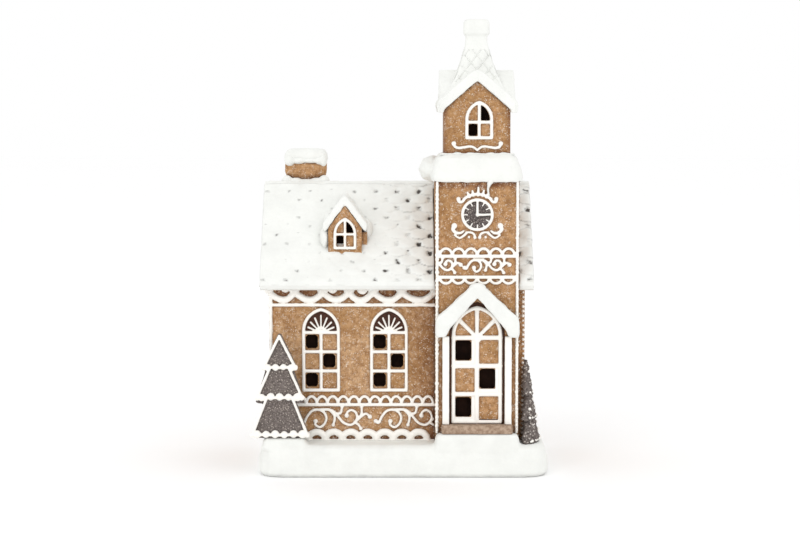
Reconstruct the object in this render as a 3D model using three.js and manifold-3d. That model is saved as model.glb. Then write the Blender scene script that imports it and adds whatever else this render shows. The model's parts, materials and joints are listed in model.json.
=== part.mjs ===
// Battery-lit gingerbread church house. Millimetres, +Z up, the front faces -Y.
// The origin is on the table, under the middle of the whole outline.
import * as THREE from "three";
import { mergeVertices } from "three/addons/utils/BufferGeometryUtils.js";
import Module from "manifold-3d";

const wasm = await Module();
wasm.setup();

// Clearances
const fit = 0.3; // gap between pieces that are glued or laid on each other
const cutOver = 1; // how far a cut runs past the face that it opens

// Snow base
const baseWidth = 183.5;
const baseDepth = 128;
const baseHeight = 20;
const baseCorner = 15;
const baseCenterX = 2.2;
const bankHeight = 7; // snow banked up before the door
const bankReach = 10.5;
const bankSide = 0.6; // how far the bank is wider than the tower on each side
const moundHeight = 4; // snow heaped under the left tree

// Nave
const wall = 4.2;
const naveWidth = 162;
const naveDepth = 92;
const naveCenterX = -2;
const naveCenterY = 6;
const towerProud = 12; // how far the tower's front stands before the nave's
const wallHeight = 104;
const roofPitch = THREE.MathUtils.degToRad(48.5);
const roofLength = 172;
const roofBoard = 3.4;
const eaveOverhang = 6;
const eaveRoll = 3.4;
const eaveRollInset = 1.2; // from the board's edge to the middle of the roll
const ridgeRollSink = 2.6; // from the board's top to the middle of the roll
const shingleRows = 11;
const shingleWidth = 14;
const shingleDrop = 4.6;
const shingleLift = 1.6;
const shingleChords = 3;

// Dormer and chimney
const dormerX = -32.9;
const dormerHalf = 10.6;
const dormerEaves = 16.8;
const dormerPeak = 31.4;
const dormerShell = 3.4;
const dormerSetBack = 5;
const dormerDepth = 33;
const dormerSnowThickness = 4.2;
const dormerSnowLip = 1.6;
const dormerLightWidth = 10;
const dormerLightSetBack = 10;
const cheekReach = 3.4;
const cheekHeight = 14;
const cheekSetBack = 4;
const chimneyWidth = 27;
const chimneyDepth = 16;
const chimneyTop = 174.9;
const chimneyX = -59.8;
const chimneyY = 12.2;
const chimneySnowHeight = 9;

// Clock. The tower's front is laid out from its middle: up to the walls' top and down to the string lines.
const clockHeight = 144.4;
const clockRadius = 10.3;
const clockRing = 2.1;
const clockToTop = 25.6;
const clockToLine = 26;

// Tower
const towerWidth = 52.4;
const towerCenterX = 48.35;
const towerFrontY = naveCenterY - naveDepth / 2 - towerProud;
const towerHeight = clockHeight + clockToTop;
const towerLineHigh = clockHeight - clockToLine;
const towerBand = 13.2;
const towerLineLow = towerLineHigh - towerBand;
const towerScallops = 6;
const towerScallopRise = 4.6;
const ledgeDrop = 5.4;
const ledgeRise = 12;
const ledgeOverhang = 2.4;

// Belfry and spire
const belfryWidth = 41.4;
const belfryWall = 7;
const belfryEaves = 27.6;
const belfryPeak = 45.6;
const belfrySnow = 6.6;
const belfryOverhang = 1.6;
const spireFoot = 34;
const spireFootHalf = 21.4;
const spireNeckHalf = 6.5;
const spireHeight = 40.5;
const spireFlare = 1.7;
const spireLevels = 7;
const capWidth = 16.3;
const capHeight = 10.2;

// Piped icing
const icing = 1.8; // how far piped icing stands off the gingerbread
const line = 2.2; // width of a straight line
const thinLine = 1.6; // width of a curled line

// Windows and door, each drawn about its own middle from the foot of its wall
const stepHeight = 5.4;
const paneCorner = 1.4;
const naveWindow = {
  halfWidth: 12.1, sill: 31, spring: 69.9, apex: 84.6, bar: 2.3, muntin: 2.5, rows: 3,
  draft: 0.7, rays: 7, rayReach: 0.8, rayWidth: 2, rayFoot: 0.5,
};
const naveWindowPlaces = [-48.1, -5];
const lineToDoor = 18; // from the tower's lower string line down to the door's point
const doorRise = 18.7;
const door = {
  halfWidth: 16, sill: bankHeight + stepHeight, spring: towerLineLow - lineToDoor - doorRise,
  apex: towerLineLow - lineToDoor, bar: 2.2, muntin: 3.2, rows: 3,
  draft: 1.8, rays: 3, rayReach: 1.06, rayWidth: 2.6, rayFoot: 1,
};
const belfryWindow = {
  halfWidth: 8.8, sill: 9.2, spring: 21.8, apex: 33.5, bar: 2.2, muntin: 2.2, crossbar: 20,
};
const belfryWindowX = 1.2;
const dormerWindow = {
  halfWidth: 7.3, sill: 3.4, spring: 13, apex: 23.6, bar: 1.9, muntin: 1.9, crossbar: 13,
};

// Icing on the nave's front
const stringHeight = 86.4;
const swagCount = 6;
const swagDrop = 11;
const swagWidth = 4.3;
const bandLine = 23.5;
const bandScallopPitch = 7;
const bandScallopRise = 4.2;
const scrollPeriod = 47.6;
const scrollStart = 24.8; // from the nave's corner to the first period
const towerScrollDepth = 0.36; // the tower's scroll fills its band: band over period
const towerScrollShift = 0.16;
const domePitch = 11.1;
const domeRise = 7;
const domeHollow = 2.1;

// Icing round the clock and under the belfry window
const crownGap = 2.4;
const crownRay = 3.6;
const clockScroll = { half: 16, height: 8.5, gap: 1.4 };
const swirl = { half: 15.4, height: 4.6, rise: 2.2 };

// Porch and doorstep
const porchReach = 7.5;
const porchHalf = 26.4;
const lineToPorch = 1.2; // from the tower's lower string line down to the porch's point
const porchGable = 25;
const porchLeg = 11;
const porchApex = towerLineLow - lineToPorch;
const porchShoulder = porchApex - porchGable;
const porchFoot = porchShoulder - porchLeg;
const porchSnow = 8;
const porchFootWidth = 6.6;
const pillarWidth = 4.2;
const pillarPlace = 19.6;
const stepReach = 8;
const stepHalf = 22.3;

// Trees
const treeThickness = 6.6;
const treeBorder = 1.9;
const leftTree = { height: 65.5, half: 18.4, x: -75.55, y: -54, turn: 0, rest: moundHeight };
const rightTree = { height: 52, half: 13.5, x: 83.1, y: -44, turn: 72, rest: 0 };

// Battery box, switch and lights
const cellRadius = 7.1;
const cellLength = 49.2;
const nubLength = 1.2;
const nubRadius = 2.6;
const contactThickness = 0.5;
const contactHalf = 5;
const springLength = 2.2;
const dimpleLength = 0.4;
const boxWall = 2;
const boxX = -40;
const boxY = 8;
const plateThickness = 1.6;
const plateRise = 1.2; // the box's plate is sunk this far above the table
const fingerRib = { pitch: 2.5, width: 1.2, halfLength: 6, rise: 0.6 };
const earLength = 9;
const switchBay = 16;
const switchTravel = 3.4;
const screwRadius = 1.3;
const screwHeadHeight = 0.9;
const ledRadius = 2.5;
const ledRim = 0.5;
const holderRadius = 4.2;
const holderHeight = 18;
const holderFoot = 1.6;
const leadRadius = 0.8;
const leadNotch = 4.6; // height of the hole that lets the lead into the tower

// Colours
const finish = (color, roughness, metalness = 0) => (
  new THREE.MeshStandardMaterial({ color, roughness, metalness })
);
const gingerbread = finish(0xb98d5f, 0.85);
const snow = finish(0xf4f5f3, 0.8);
const pipedIcing = finish(0xf8f6f1, 0.65);
const cookieGrey = finish(0x6e665f, 0.9);
const clockGrey = finish(0x5a524f, 0.85);
const stepStone = finish(0xb4967d, 0.85);
const whitePlastic = finish(0xe6e4de, 0.5);
const blackPlastic = finish(0x1d1d1f, 0.45);
const steel = finish(0xb9bcc0, 0.3, 1);
const lampEpoxy = finish(0xffe9b8, 0.2);
const cellSleeve = finish(0x3c4046, 0.4);

// Solids, meshes and places

const house = new THREE.Group();

function place(parent, x, y, z, turn = 0) {
  const group = new THREE.Group();
  group.position.set(x, y, z);
  group.rotation.z = THREE.MathUtils.degToRad(turn);
  parent.add(group);
  return group;
}

function toSolid(geometry) {
  const bare = geometry.clone();
  bare.deleteAttribute("normal");
  bare.deleteAttribute("uv");
  const welded = mergeVertices(bare, 1e-4);
  return new wasm.Manifold(new wasm.Mesh({
    numProp: 3,
    vertProperties: new Float32Array(welded.attributes.position.array),
    triVerts: new Uint32Array(welded.index.array),
  }));
}

function addPiece(parent, name, solid, material, x = 0) {
  const { vertProperties, triVerts } = solid.getMesh();
  const geometry = new THREE.BufferGeometry();
  geometry.setAttribute("position", new THREE.BufferAttribute(vertProperties, 3));
  geometry.setIndex(new THREE.BufferAttribute(triVerts, 1));
  geometry.computeVertexNormals();
  const mesh = new THREE.Mesh(geometry, material);
  mesh.name = name;
  mesh.position.x = x;
  parent.add(mesh);
  return mesh;
}

const join = (solids) => solids.reduce((whole, solid) => whole.add(solid));
const cut = (solid, cutters) => cutters.reduce((rest, cutter) => rest.subtract(cutter), solid);
const range = (count) => Array.from({ length: count }, (_, i) => i);

function block(x0, x1, y0, y1, z0, z1) {
  const geometry = new THREE.BoxGeometry(x1 - x0, y1 - y0, z1 - z0);
  geometry.translate((x0 + x1) / 2, (y0 + y1) / 2, (z0 + z1) / 2);
  return toSolid(geometry);
}

function extrude(shape, depth, curveSegments) {
  return new THREE.ExtrudeGeometry(shape, { depth, bevelEnabled: false, curveSegments });
}

// A shape drawn in X and Z, reaching from y = front to y = back.
function slab(shape, front, back, curveSegments = 3) {
  return toSolid(extrude(shape, back - front, curveSegments).rotateX(Math.PI / 2).translate(0, back, 0));
}

// A shape drawn in Y and Z, reaching from x = left to x = right.
function crossBar(shape, left, right, curveSegments = 3) {
  const geometry = extrude(shape, right - left, curveSegments);
  return toSolid(geometry.rotateY(Math.PI / 2).rotateX(Math.PI / 2).translate(left, 0, 0));
}

function rod(radius, x, y, low, high, sides = 16) {
  const geometry = new THREE.CylinderGeometry(radius, radius, high - low, sides);
  return toSolid(geometry.rotateX(Math.PI / 2).translate(x, y, (low + high) / 2));
}

function polygon(points) {
  return new THREE.Shape(points.map(([u, v]) => new THREE.Vector2(u, v)));
}

function rectangle(left, right, low, high) {
  return polygon([[left, low], [right, low], [right, high], [left, high]]);
}

function roundedRectangle(left, right, low, high, radius) {
  const shape = new THREE.Shape();
  shape.moveTo(left + radius, low);
  shape.absarc(right - radius, low + radius, radius, -Math.PI / 2, 0);
  shape.absarc(right - radius, high - radius, radius, 0, Math.PI / 2);
  shape.absarc(left + radius, high - radius, radius, Math.PI / 2, Math.PI);
  shape.absarc(left + radius, low + radius, radius, Math.PI, Math.PI * 1.5);
  return shape;
}

// Outlines with the same number of points, laid on each other from the lowest up.
function loft(rings) {
  const count = rings[0].points.length;
  const positions = rings.flatMap(({ points, z }) => points.flatMap((point) => [point.x, point.y, z]));
  const faces = [];
  for (const ring of range(rings.length - 1)) {
    for (const i of range(count)) {
      const a = ring * count + i;
      const b = ring * count + ((i + 1) % count);
      faces.push(a, b, b + count, a, b + count, a + count);
    }
  }
  const top = (rings.length - 1) * count;
  for (const [a, b, c] of THREE.ShapeUtils.triangulateShape(rings[0].points, [])) {
    faces.push(a, c, b);
  }
  for (const [a, b, c] of THREE.ShapeUtils.triangulateShape(rings.at(-1).points, [])) {
    faces.push(top + a, top + b, top + c);
  }
  const geometry = new THREE.BufferGeometry();
  geometry.setAttribute("position", new THREE.Float32BufferAttribute(positions, 3));
  geometry.setIndex(faces);
  return geometry;
}

// One outline of a loft: a rectangle with round corners.
function ring(halfX, halfY, corner, z, centerX = 0, centerY = 0, cornerSteps = 4) {
  const points = range(4).flatMap((quarter) => range(cornerSteps + 1).map((step) => {
    const angle = (quarter + step / cornerSteps) * (Math.PI / 2);
    const sideX = quarter === 0 || quarter === 3 ? 1 : -1;
    const sideY = quarter < 2 ? 1 : -1;
    return new THREE.Vector2(
      centerX + sideX * (halfX - corner) + corner * Math.cos(angle),
      centerY + sideY * (halfY - corner) + corner * Math.sin(angle),
    );
  }));
  return { points, z };
}

// One outline of a loft: a plain square.
function squareRing(half, z) {
  const corners = [[1, 1], [-1, 1], [-1, -1], [1, -1]];
  return { points: corners.map(([x, y]) => new THREE.Vector2(x * half, y * half)), z };
}

// A house-end outline: upright sides up to the eaves and a peak in the middle.
function gable(half, low, eaves, peak) {
  return polygon([[-half, low], [half, low], [half, eaves], [0, peak], [-half, eaves]]);
}

// Piped icing

// A flat-backed bead along a path drawn in X and Z. Its back lies at y = back. Thin beads come to a ridge.
function bead(path, back, options = {}) {
  const { width = thinLine, steps = 12, startScale = 1, endScale = 1, height = icing } = options;
  const ridge = [[-0.5, 0], [0, 1], [0.5, 0]];
  const roll = [[-0.5, 0], [-0.27, 1], [0.27, 1], [0.5, 0]];
  const profile = width < line ? ridge : roll;
  const count = profile.length;
  const positions = [];
  for (const i of range(steps + 1)) {
    const point = path.getPoint(i / steps);
    const tangent = path.getTangent(i / steps);
    const scale = THREE.MathUtils.lerp(startScale, endScale, i / steps) * width;
    for (const [across, out] of profile) {
      const aside = across * scale;
      positions.push(point.x + tangent.y * aside, back - out * height, point.y - tangent.x * aside);
    }
  }
  const faces = [];
  for (const i of range(steps)) {
    for (const j of range(count)) {
      const a = i * count + j;
      const b = i * count + ((j + 1) % count);
      faces.push(a, b, b + count, a, b + count, a + count);
    }
  }
  for (const j of range(count - 2)) {
    const last = steps * count;
    faces.push(0, j + 2, j + 1, last, last + j + 1, last + j + 2);
  }
  const geometry = new THREE.BufferGeometry();
  geometry.setAttribute("position", new THREE.Float32BufferAttribute(positions, 3));
  geometry.setIndex(faces);
  return toSolid(geometry);
}

// A drop of icing, as where a curl ends.
function drop(x, z, radius, back, sides = 5) {
  const geometry = new THREE.CylinderGeometry(radius, radius * 0.62, icing, sides);
  return toSolid(geometry.translate(x, back - icing / 2, z));
}

function through(...points) {
  return new THREE.SplineCurve(points.map(([x, z]) => new THREE.Vector2(x, z)));
}

// A row of piped arches that stand on z = foot, or hang from it with rise below zero.
function arches(left, right, count, foot, rise, width, back) {
  const overlap = width * 0.2;
  const pitch = (right - left - overlap * 2) / count;
  const half = (pitch - width) / 2 + overlap;
  const depth = Math.abs(rise) - width / 2;
  return join(range(count).map((i) => {
    const middle = left + overlap + pitch * (i + 0.5);
    const end = rise > 0 ? 0 : 2 * Math.PI;
    const path = new THREE.EllipseCurve(middle, foot, half, depth, Math.PI, end, rise > 0);
    return bead(path, back, { width, steps: width < line ? 3 : 5 });
  }));
}

// A cap of snow over a gable: two slopes of even thickness, with a rounded ridge and rounded eaves.
function snowChevron({ half, eaves, peak, thickness, overhang }) {
  const slope = (peak - eaves) / half;
  const up = thickness * Math.hypot(1, slope);
  const reach = half + overhang;
  const low = eaves - overhang * slope;
  const lip = thickness * 0.5;
  const shape = new THREE.Shape();
  shape.moveTo(0, peak);
  shape.lineTo(-reach, low);
  shape.quadraticCurveTo(-reach - lip, low - lip, -reach - lip, low + up * 0.45);
  shape.quadraticCurveTo(-reach - lip, low + up * 0.85, -reach, low + up);
  shape.lineTo(-lip, peak + up - slope * lip);
  shape.quadraticCurveTo(0, peak + up, lip, peak + up - slope * lip);
  shape.lineTo(reach, low + up);
  shape.quadraticCurveTo(reach + lip, low + up * 0.85, reach + lip, low + up * 0.45);
  shape.quadraticCurveTo(reach + lip, low - lip, reach, low);
  return shape;
}

function stripe(left, right, low, high, back) {
  return slab(rectangle(left, right, low, high), back - icing, back);
}

// Windows, and the light holes in the wall behind their dark panes

// A pointed arch whose sides leave the jambs upright and meet at the apex.
function pointedArch({ halfWidth, sill, spring, apex }, x = 0) {
  const rise = apex - spring;
  const radius = (halfWidth ** 2 + rise ** 2) / (2 * halfWidth);
  const sweep = Math.atan2(rise, radius - halfWidth);
  const shape = new THREE.Shape();
  shape.moveTo(x - halfWidth, sill);
  shape.lineTo(x + halfWidth, sill);
  shape.absarc(x + halfWidth - radius, spring, radius, 0, sweep);
  shape.absarc(x + radius - halfWidth, spring, radius, Math.PI - sweep, Math.PI);
  return shape;
}

// The same arch, one frame bar further in.
function innerArch({ halfWidth, sill, spring, apex, bar }) {
  const radius = (halfWidth ** 2 + (apex - spring) ** 2) / (2 * halfWidth);
  const rise = Math.sqrt((radius - bar) ** 2 - (radius - halfWidth) ** 2);
  return { halfWidth: halfWidth - bar, sill: sill + bar, spring, apex: spring + rise };
}

// Square panes in two columns, up to the spring. Dark panes are open to the inside, the others are blind.
function squarePanes(size, x = 0) {
  const inner = size.halfWidth - size.bar;
  const pitch = (size.spring - size.sill - size.bar) / size.rows;
  return range(size.rows * 2).map((i) => {
    const row = Math.floor(i / 2);
    const low = size.sill + size.bar + (size.rows - 1 - row) * pitch;
    const left = i % 2 === 0 ? x - inner : x + size.muntin / 2;
    const right = i % 2 === 0 ? x - size.muntin / 2 : x + inner;
    return { left, right, low, high: low + pitch - size.muntin, dark: (row + i) % 2 === 0 };
  });
}

// The rear outline of a dark pane: icing walls drawn in at the right and at the sill.
function rearOutline({ left, right, low, high }, draft) {
  return { left, right: right - draft, low: low + draft, high };
}

function paneTunnel(frontPane, front, rearPane, back) {
  const outline = ({ left, right, low, high }, y) => (
    ring((right - left) / 2, (high - low) / 2, paneCorner, -y, (left + right) / 2, (low + high) / 2, 1)
  );
  return toSolid(loft([outline(rearPane, back), outline(frontPane, front)]).rotateX(Math.PI / 2));
}

function paneOpening(pane, draft, front, back) {
  return paneTunnel(pane, front, pane.dark ? rearOutline(pane, draft) : pane, back);
}

function lightHole(pane, draft, front, back) {
  const rear = rearOutline(pane, draft);
  return paneTunnel(rear, front - cutOver, rear, back + cutOver);
}

// How far a ray runs from the middle of the transom to the inner arch.
function rayLength(size, transom, angle) {
  const inner = innerArch(size);
  const radius = (inner.halfWidth ** 2 + (inner.apex - inner.spring) ** 2) / (2 * inner.halfWidth);
  const centerX = inner.halfWidth - radius;
  const centerZ = inner.spring - transom;
  const along = Math.abs(Math.cos(angle)) * centerX + Math.sin(angle) * centerZ;
  return along + Math.sqrt(along ** 2 - centerX ** 2 - centerZ ** 2 + radius ** 2);
}

// A pointed window: rows of square panes, a transom, and a fan of icing rays in the arch.
function fanWindow(size, back, x = 0) {
  const front = back - icing;
  const panes = squarePanes(size, x);
  const transom = size.spring;
  const whole = slab(pointedArch(size, x), front, back);
  const arch = slab(pointedArch(innerArch(size), x), front - cutOver, back + cutOver);
  const above = block(
    x - size.halfWidth, x + size.halfWidth, front - cutOver, back + cutOver, transom, size.apex,
  );
  const openings = panes.map((pane) => paneOpening(pane, size.draft, front, back));
  const rays = range(size.rays).map((i) => {
    const angle = (Math.PI * (i + 1)) / (size.rays + 1);
    const length = rayLength(size, transom, angle) * size.rayReach;
    const tip = [x + length * Math.cos(angle), transom + length * Math.sin(angle)];
    return bead(through([x, transom - size.muntin / 2], tip), back, {
      width: size.rayWidth, startScale: size.rayFoot, steps: 1,
    });
  });
  return cut(whole, [arch.intersect(above), ...openings]).add(join(rays).intersect(whole));
}

// The four panes of a round-headed window, two of them under the arch.
function crossPanes(size, front, back, x = 0) {
  const low = size.sill + size.bar;
  const high = size.crossbar - size.muntin / 2;
  const inner = size.halfWidth - size.bar;
  const arch = slab(pointedArch(innerArch(size), x), front, back);
  const upperLow = high + size.muntin;
  const upper = (left, right) => arch.intersect(block(left, right, front, back, upperLow, size.apex));
  const lower = (left, right) => slab(roundedRectangle(left, right, low, high, paneCorner), front, back, 1);
  return {
    blind: [upper(x - inner, x - size.muntin / 2), lower(x + size.muntin / 2, x + inner)],
    dark: [upper(x + size.muntin / 2, x + inner), lower(x - inner, x - size.muntin / 2)],
  };
}

function crossWindow(size, back) {
  const panes = crossPanes(size, back - icing - cutOver, back + cutOver);
  return cut(slab(pointedArch(size), back - icing, back), [...panes.blind, ...panes.dark]);
}

// Places shared by the pieces

const naveFront = -naveDepth / 2;
const naveLeft = -naveWidth / 2;
const frontWallRight = towerCenterX - towerWidth / 2 - fit - naveCenterX;
const towerHalf = towerWidth / 2;
const belfryHalf = belfryWidth / 2;
const towerCenterY = towerFrontY + towerHalf;
const belfryFoot = towerHeight + ledgeRise;
const dormerFrontY = naveFront + dormerSetBack;
const dormerBackY = dormerFrontY + dormerDepth;

const nave = place(house, naveCenterX, naveCenterY, baseHeight);
const naveRear = place(nave, 0, 0, 0, 180);
const tower = place(house, towerCenterX, towerCenterY, baseHeight);
const belfryStage = place(tower, 0, 0, belfryFoot);

// Battery box, cells and contacts. The box lies in a well of the base, open to the table.

const cellSpacing = cellRadius + fit;
const spring = { length: springLength, tip: 2.4, foot: 4.2 };
const dimple = { length: dimpleLength, tip: 2, foot: 2.2 };
const springReach = springLength + contactThickness;
const trayHalfX = cellLength / 2 + nubLength / 2 + springReach / 2 + contactThickness / 2 + fit * 2;
const trayHalfY = cellSpacing + cellRadius + fit * 2;
const trayFloor = plateRise + plateThickness;
const cellHeight = trayFloor + fit + cellRadius;
const trayTop = cellHeight + cellRadius + fit;
const coverHalfX = trayHalfX + boxWall / 2;
const coverHalfY = trayHalfY + boxWall / 2;
const boxLeft = -trayHalfX - boxWall;
const boxRight = trayHalfX + boxWall + switchBay;
const boxHalfY = trayHalfY + boxWall;
const plateLeft = boxLeft - earLength;
const plateRight = boxRight + earLength;
const plateHalfY = boxHalfY + boxWall;
const switchX = trayHalfX + boxWall + switchBay / 2;
const switchSlotHalfY = 1.3;
const knobHalfX = 1.7;
const slotHalfX = knobHalfX + switchTravel / 2 + fit;
const screwPlaces = [plateLeft + earLength / 2, plateRight - earLength / 2];
const screwDepth = 9;

const box = place(house, boxX, boxY, 0);

function batteryBox() {
  const tray = block(boxLeft, boxRight, -boxHalfY, boxHalfY, plateRise, trayTop + boxWall);
  const flange = block(plateLeft, plateRight, -plateHalfY, plateHalfY, plateRise, trayFloor);
  const over = trayFloor + cutOver;
  const lidTop = trayTop + boxWall + cutOver;
  return cut(tray.add(flange), [
    block(-trayHalfX, trayHalfX, -trayHalfY, trayHalfY, trayFloor - cutOver, trayTop),
    block(-coverHalfX - fit, coverHalfX + fit, -coverHalfY - fit, coverHalfY + fit, 0, trayFloor),
    block(trayHalfX + boxWall, boxRight - boxWall, -trayHalfY, trayHalfY, trayFloor, lidTop),
    block(switchX - slotHalfX, switchX + slotHalfX, -switchSlotHalfY, switchSlotHalfY, 0, over),
    ...screwPlaces.map((x) => rod(screwRadius + fit, x, 0, 0, over)),
  ]);
}

// The lift-off cover, with finger ribs at one end.
function batteryCover() {
  const ribs = range(3).map((i) => {
    const x = coverHalfX - (i + 2) * fingerRib.pitch;
    return block(
      x - fingerRib.width / 2, x + fingerRib.width / 2, -fingerRib.halfLength, fingerRib.halfLength,
      plateRise - fingerRib.rise, plateRise + cutOver,
    );
  });
  return join([block(-coverHalfX, coverHalfX, -coverHalfY, coverHalfY, plateRise, trayFloor - fit), ...ribs]);
}

function batteryCell(y, nubSide) {
  const half = cellLength / 2;
  const tip = half + nubLength;
  const profile = [
    [0, -half], [cellRadius, -half], [cellRadius, half], [nubRadius, half], [nubRadius, tip], [0, tip],
  ].map(([radius, along]) => new THREE.Vector2(radius, along));
  const geometry = new THREE.LatheGeometry(profile, 12).rotateZ((-nubSide * Math.PI) / 2);
  const shift = (springLength - dimpleLength - nubLength) / 2;
  return toSolid(geometry.translate(nubSide * shift, y, cellHeight));
}

// A contact plate on the tray's end wall. A cone stands for its spring, a low dimple for a plus pole.
function contact(side, middles, poles) {
  const wallX = side * trayHalfX;
  const halfY = (middles.at(-1) - middles[0]) / 2 + contactHalf;
  const middle = (middles.at(-1) + middles[0]) / 2;
  const plateX = wallX - side * contactThickness;
  const plateSolid = block(
    Math.min(wallX, plateX), Math.max(wallX, plateX), middle - halfY, middle + halfY,
    cellHeight - contactHalf, cellHeight + contactHalf,
  );
  const springs = middles.map((y, i) => {
    const { length, tip, foot } = poles[i] > 0 ? dimple : spring;
    const sunk = contactThickness / 2;
    const geometry = new THREE.CylinderGeometry(tip, foot, length + sunk, 10).rotateZ((side * Math.PI) / 2);
    return toSolid(geometry.translate(plateX - side * (length - sunk) / 2, y, cellHeight));
  });
  return join([plateSolid, ...springs]);
}

addPiece(box, "battery_box", batteryBox(), blackPlastic);
addPiece(box, "battery_cover", batteryCover(), blackPlastic);
addPiece(box, "battery_cell_1", batteryCell(-cellSpacing, 1), cellSleeve);
addPiece(box, "battery_cell_2", batteryCell(cellSpacing, -1), cellSleeve);
addPiece(box, "contact_bridge", contact(-1, [-cellSpacing, cellSpacing], [-1, 1]), steel);
addPiece(box, "contact_positive", contact(1, [-cellSpacing], [1]), steel);
addPiece(box, "contact_negative", contact(1, [cellSpacing], [-1]), steel);

// The slide switch behind the plate, and its knob in the plate's slot.

const switchHalfX = 5.4;
const switchHalfY = 3.4;
const switchHeight = 5;
const switchHollow = 2;
const footHalfY = 2;
const knobSink = 0.5; // the knob ends this far above the table

function switchBody() {
  const shell = block(
    switchX - switchHalfX, switchX + switchHalfX, -switchHalfY, switchHalfY,
    trayFloor, trayFloor + switchHeight,
  );
  const hollow = block(
    switchX - slotHalfX, switchX + slotHalfX, -footHalfY - fit, footHalfY + fit, trayFloor - cutOver,
    trayFloor + switchHollow,
  );
  return shell.subtract(hollow);
}

function switchSlider() {
  const x = switchX - switchTravel / 2;
  const knobHalfY = switchSlotHalfY - fit;
  const top = trayFloor + switchHollow - fit;
  const knob = block(x - knobHalfX, x + knobHalfX, -knobHalfY, knobHalfY, knobSink, top);
  const foot = block(x - knobHalfX, x + knobHalfX, -footHalfY, footHalfY, trayFloor + fit, top);
  return knob.add(foot);
}

function boxScrew(x) {
  const headRadius = screwRadius * 2;
  const crown = plateRise - screwHeadHeight;
  const tip = plateRise + screwDepth;
  const profile = [
    [0, crown], [headRadius * 0.7, crown], [headRadius, plateRise - screwHeadHeight / 5],
    [headRadius, plateRise], [screwRadius, plateRise], [screwRadius, tip], [0, tip],
  ].map(([radius, z]) => new THREE.Vector2(radius, z));
  return toSolid(new THREE.LatheGeometry(profile, 8).rotateX(Math.PI / 2).translate(x, 0, 0));
}

addPiece(box, "switch_body", switchBody(), blackPlastic);
addPiece(box, "switch_slider", switchSlider(), whitePlastic);
screwPlaces.forEach((x, i) => addPiece(box, `box_screw_${i + 1}`, boxScrew(x), steel));

// Snow base

function snowBase() {
  const halfX = baseWidth / 2;
  const halfY = baseDepth / 2;
  const level = (inset, z) => ring(halfX - inset, halfY - inset, baseCorner - inset, z, baseCenterX, 0, 3);
  const slabOfSnow = toSolid(loft([
    level(1.6, 0), level(0, 3), level(0.6, 12), level(2.6, 18), level(5.6, baseHeight),
  ]));
  const bankMiddle = towerFrontY - bankReach / 2;
  const bankHalf = towerHalf + bankSide;
  const bankLevel = (inset, z) => ring(
    bankHalf - inset, (bankReach - inset) / 2, 3, z, towerCenterX, bankMiddle + inset / 2, 2,
  );
  const bank = toSolid(loft([
    bankLevel(0, baseHeight - 4), bankLevel(0.4, baseHeight + 4), bankLevel(1.6, baseHeight + bankHeight),
  ]));
  const moundLevel = (inset, z) => ring(15 - inset, 6.4 - inset, 4, z, leftTree.x + 3, leftTree.y, 2);
  const mound = toSolid(loft([moundLevel(0, baseHeight - 3), moundLevel(1.8, baseHeight + moundHeight)]));
  const well = block(
    boxX + boxLeft - fit, boxX + boxRight + fit, boxY - boxHalfY - fit, boxY + boxHalfY + fit,
    0, baseHeight + cutOver,
  );
  const plateRecess = block(
    boxX + plateLeft - fit, boxX + plateRight + fit, boxY - plateHalfY - fit, boxY + plateHalfY + fit,
    -cutOver, trayFloor,
  );
  const pilotTop = plateRise + screwDepth + fit;
  const pilots = screwPlaces.map((x) => rod(screwRadius + fit, boxX + x, boxY, 0, pilotTop));
  return cut(join([slabOfSnow, bank, mound]), [well, plateRecess, ...pilots]);
}

addPiece(house, "snow_base", snowBase(), snow);

// Nave walls

const roofSlope = Math.tan(roofPitch);
const eaveY = naveFront - eaveOverhang;
const underside = (y) => wallHeight + fit + (naveDepth / 2 - Math.abs(y)) * roofSlope;

// A long wall between the end walls, with light holes behind the dark panes of its windows.
function naveLongWall(right, windowPlaces) {
  const panel = block(naveLeft + wall, right, naveFront, naveFront + wall, 0, wallHeight);
  const darkPanes = windowPlaces.flatMap((x) => squarePanes(naveWindow, x).filter((pane) => pane.dark));
  return cut(panel, darkPanes.map((pane) => lightHole(pane, naveWindow.draft, naveFront, naveFront + wall)));
}

function naveEndWall(side) {
  const outer = side * (naveWidth / 2);
  const inner = outer - side * wall;
  const shape = gable(naveDepth / 2, 0, wallHeight, underside(0) - fit);
  return crossBar(shape, Math.min(outer, inner), Math.max(outer, inner));
}

const rearWindowPlaces = naveWindowPlaces.map((x) => -x);
addPiece(nave, "nave_front_wall", naveLongWall(frontWallRight, naveWindowPlaces), gingerbread);
addPiece(naveRear, "nave_back_wall", naveLongWall(-naveLeft - wall, []), gingerbread);
addPiece(nave, "nave_left_wall", naveEndWall(-1), gingerbread);
addPiece(nave, "nave_right_wall", naveEndWall(1), gingerbread);

// Roof: two boards with rows of round-ended shingles, a roll of snow at the eave and on the ridge

const slopeLength = -eaveY / Math.cos(roofPitch);
const roofFrame = new THREE.Matrix4().makeRotationX(roofPitch).setPosition(0, eaveY, underside(eaveY));

// One row of shingles over the whole roof. Each shingle's round end is cut in a few chords, and every other
// row is shifted by half a shingle.
function shingleRow(row) {
  const pitch = slopeLength / shingleRows;
  const low = row * pitch;
  const top = low + pitch + shingleDrop;
  const shingles = Math.ceil(roofLength / shingleWidth) + 1;
  const start = (-shingles * shingleWidth) / 2 - (row % 2) * (shingleWidth / 2);
  const ends = range(shingles * shingleChords + 1).map((i) => {
    const across = (i % shingleChords) / shingleChords;
    const rise = shingleDrop * (1 - Math.sqrt(1 - (2 * across - 1) ** 2));
    return [start + (i * shingleWidth) / shingleChords, low + rise];
  });
  const outline = polygon([...ends, [ends.at(-1)[0], top], [start, top]]);
  const thickness = shingleLift + fit;
  const tilt = Math.asin(shingleLift / (top - low));
  const geometry = extrude(outline, thickness, 1).translate(0, -top, -thickness).rotateX(-tilt);
  return toSolid(geometry.translate(0, top, roofBoard).applyMatrix4(roofFrame));
}

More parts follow.
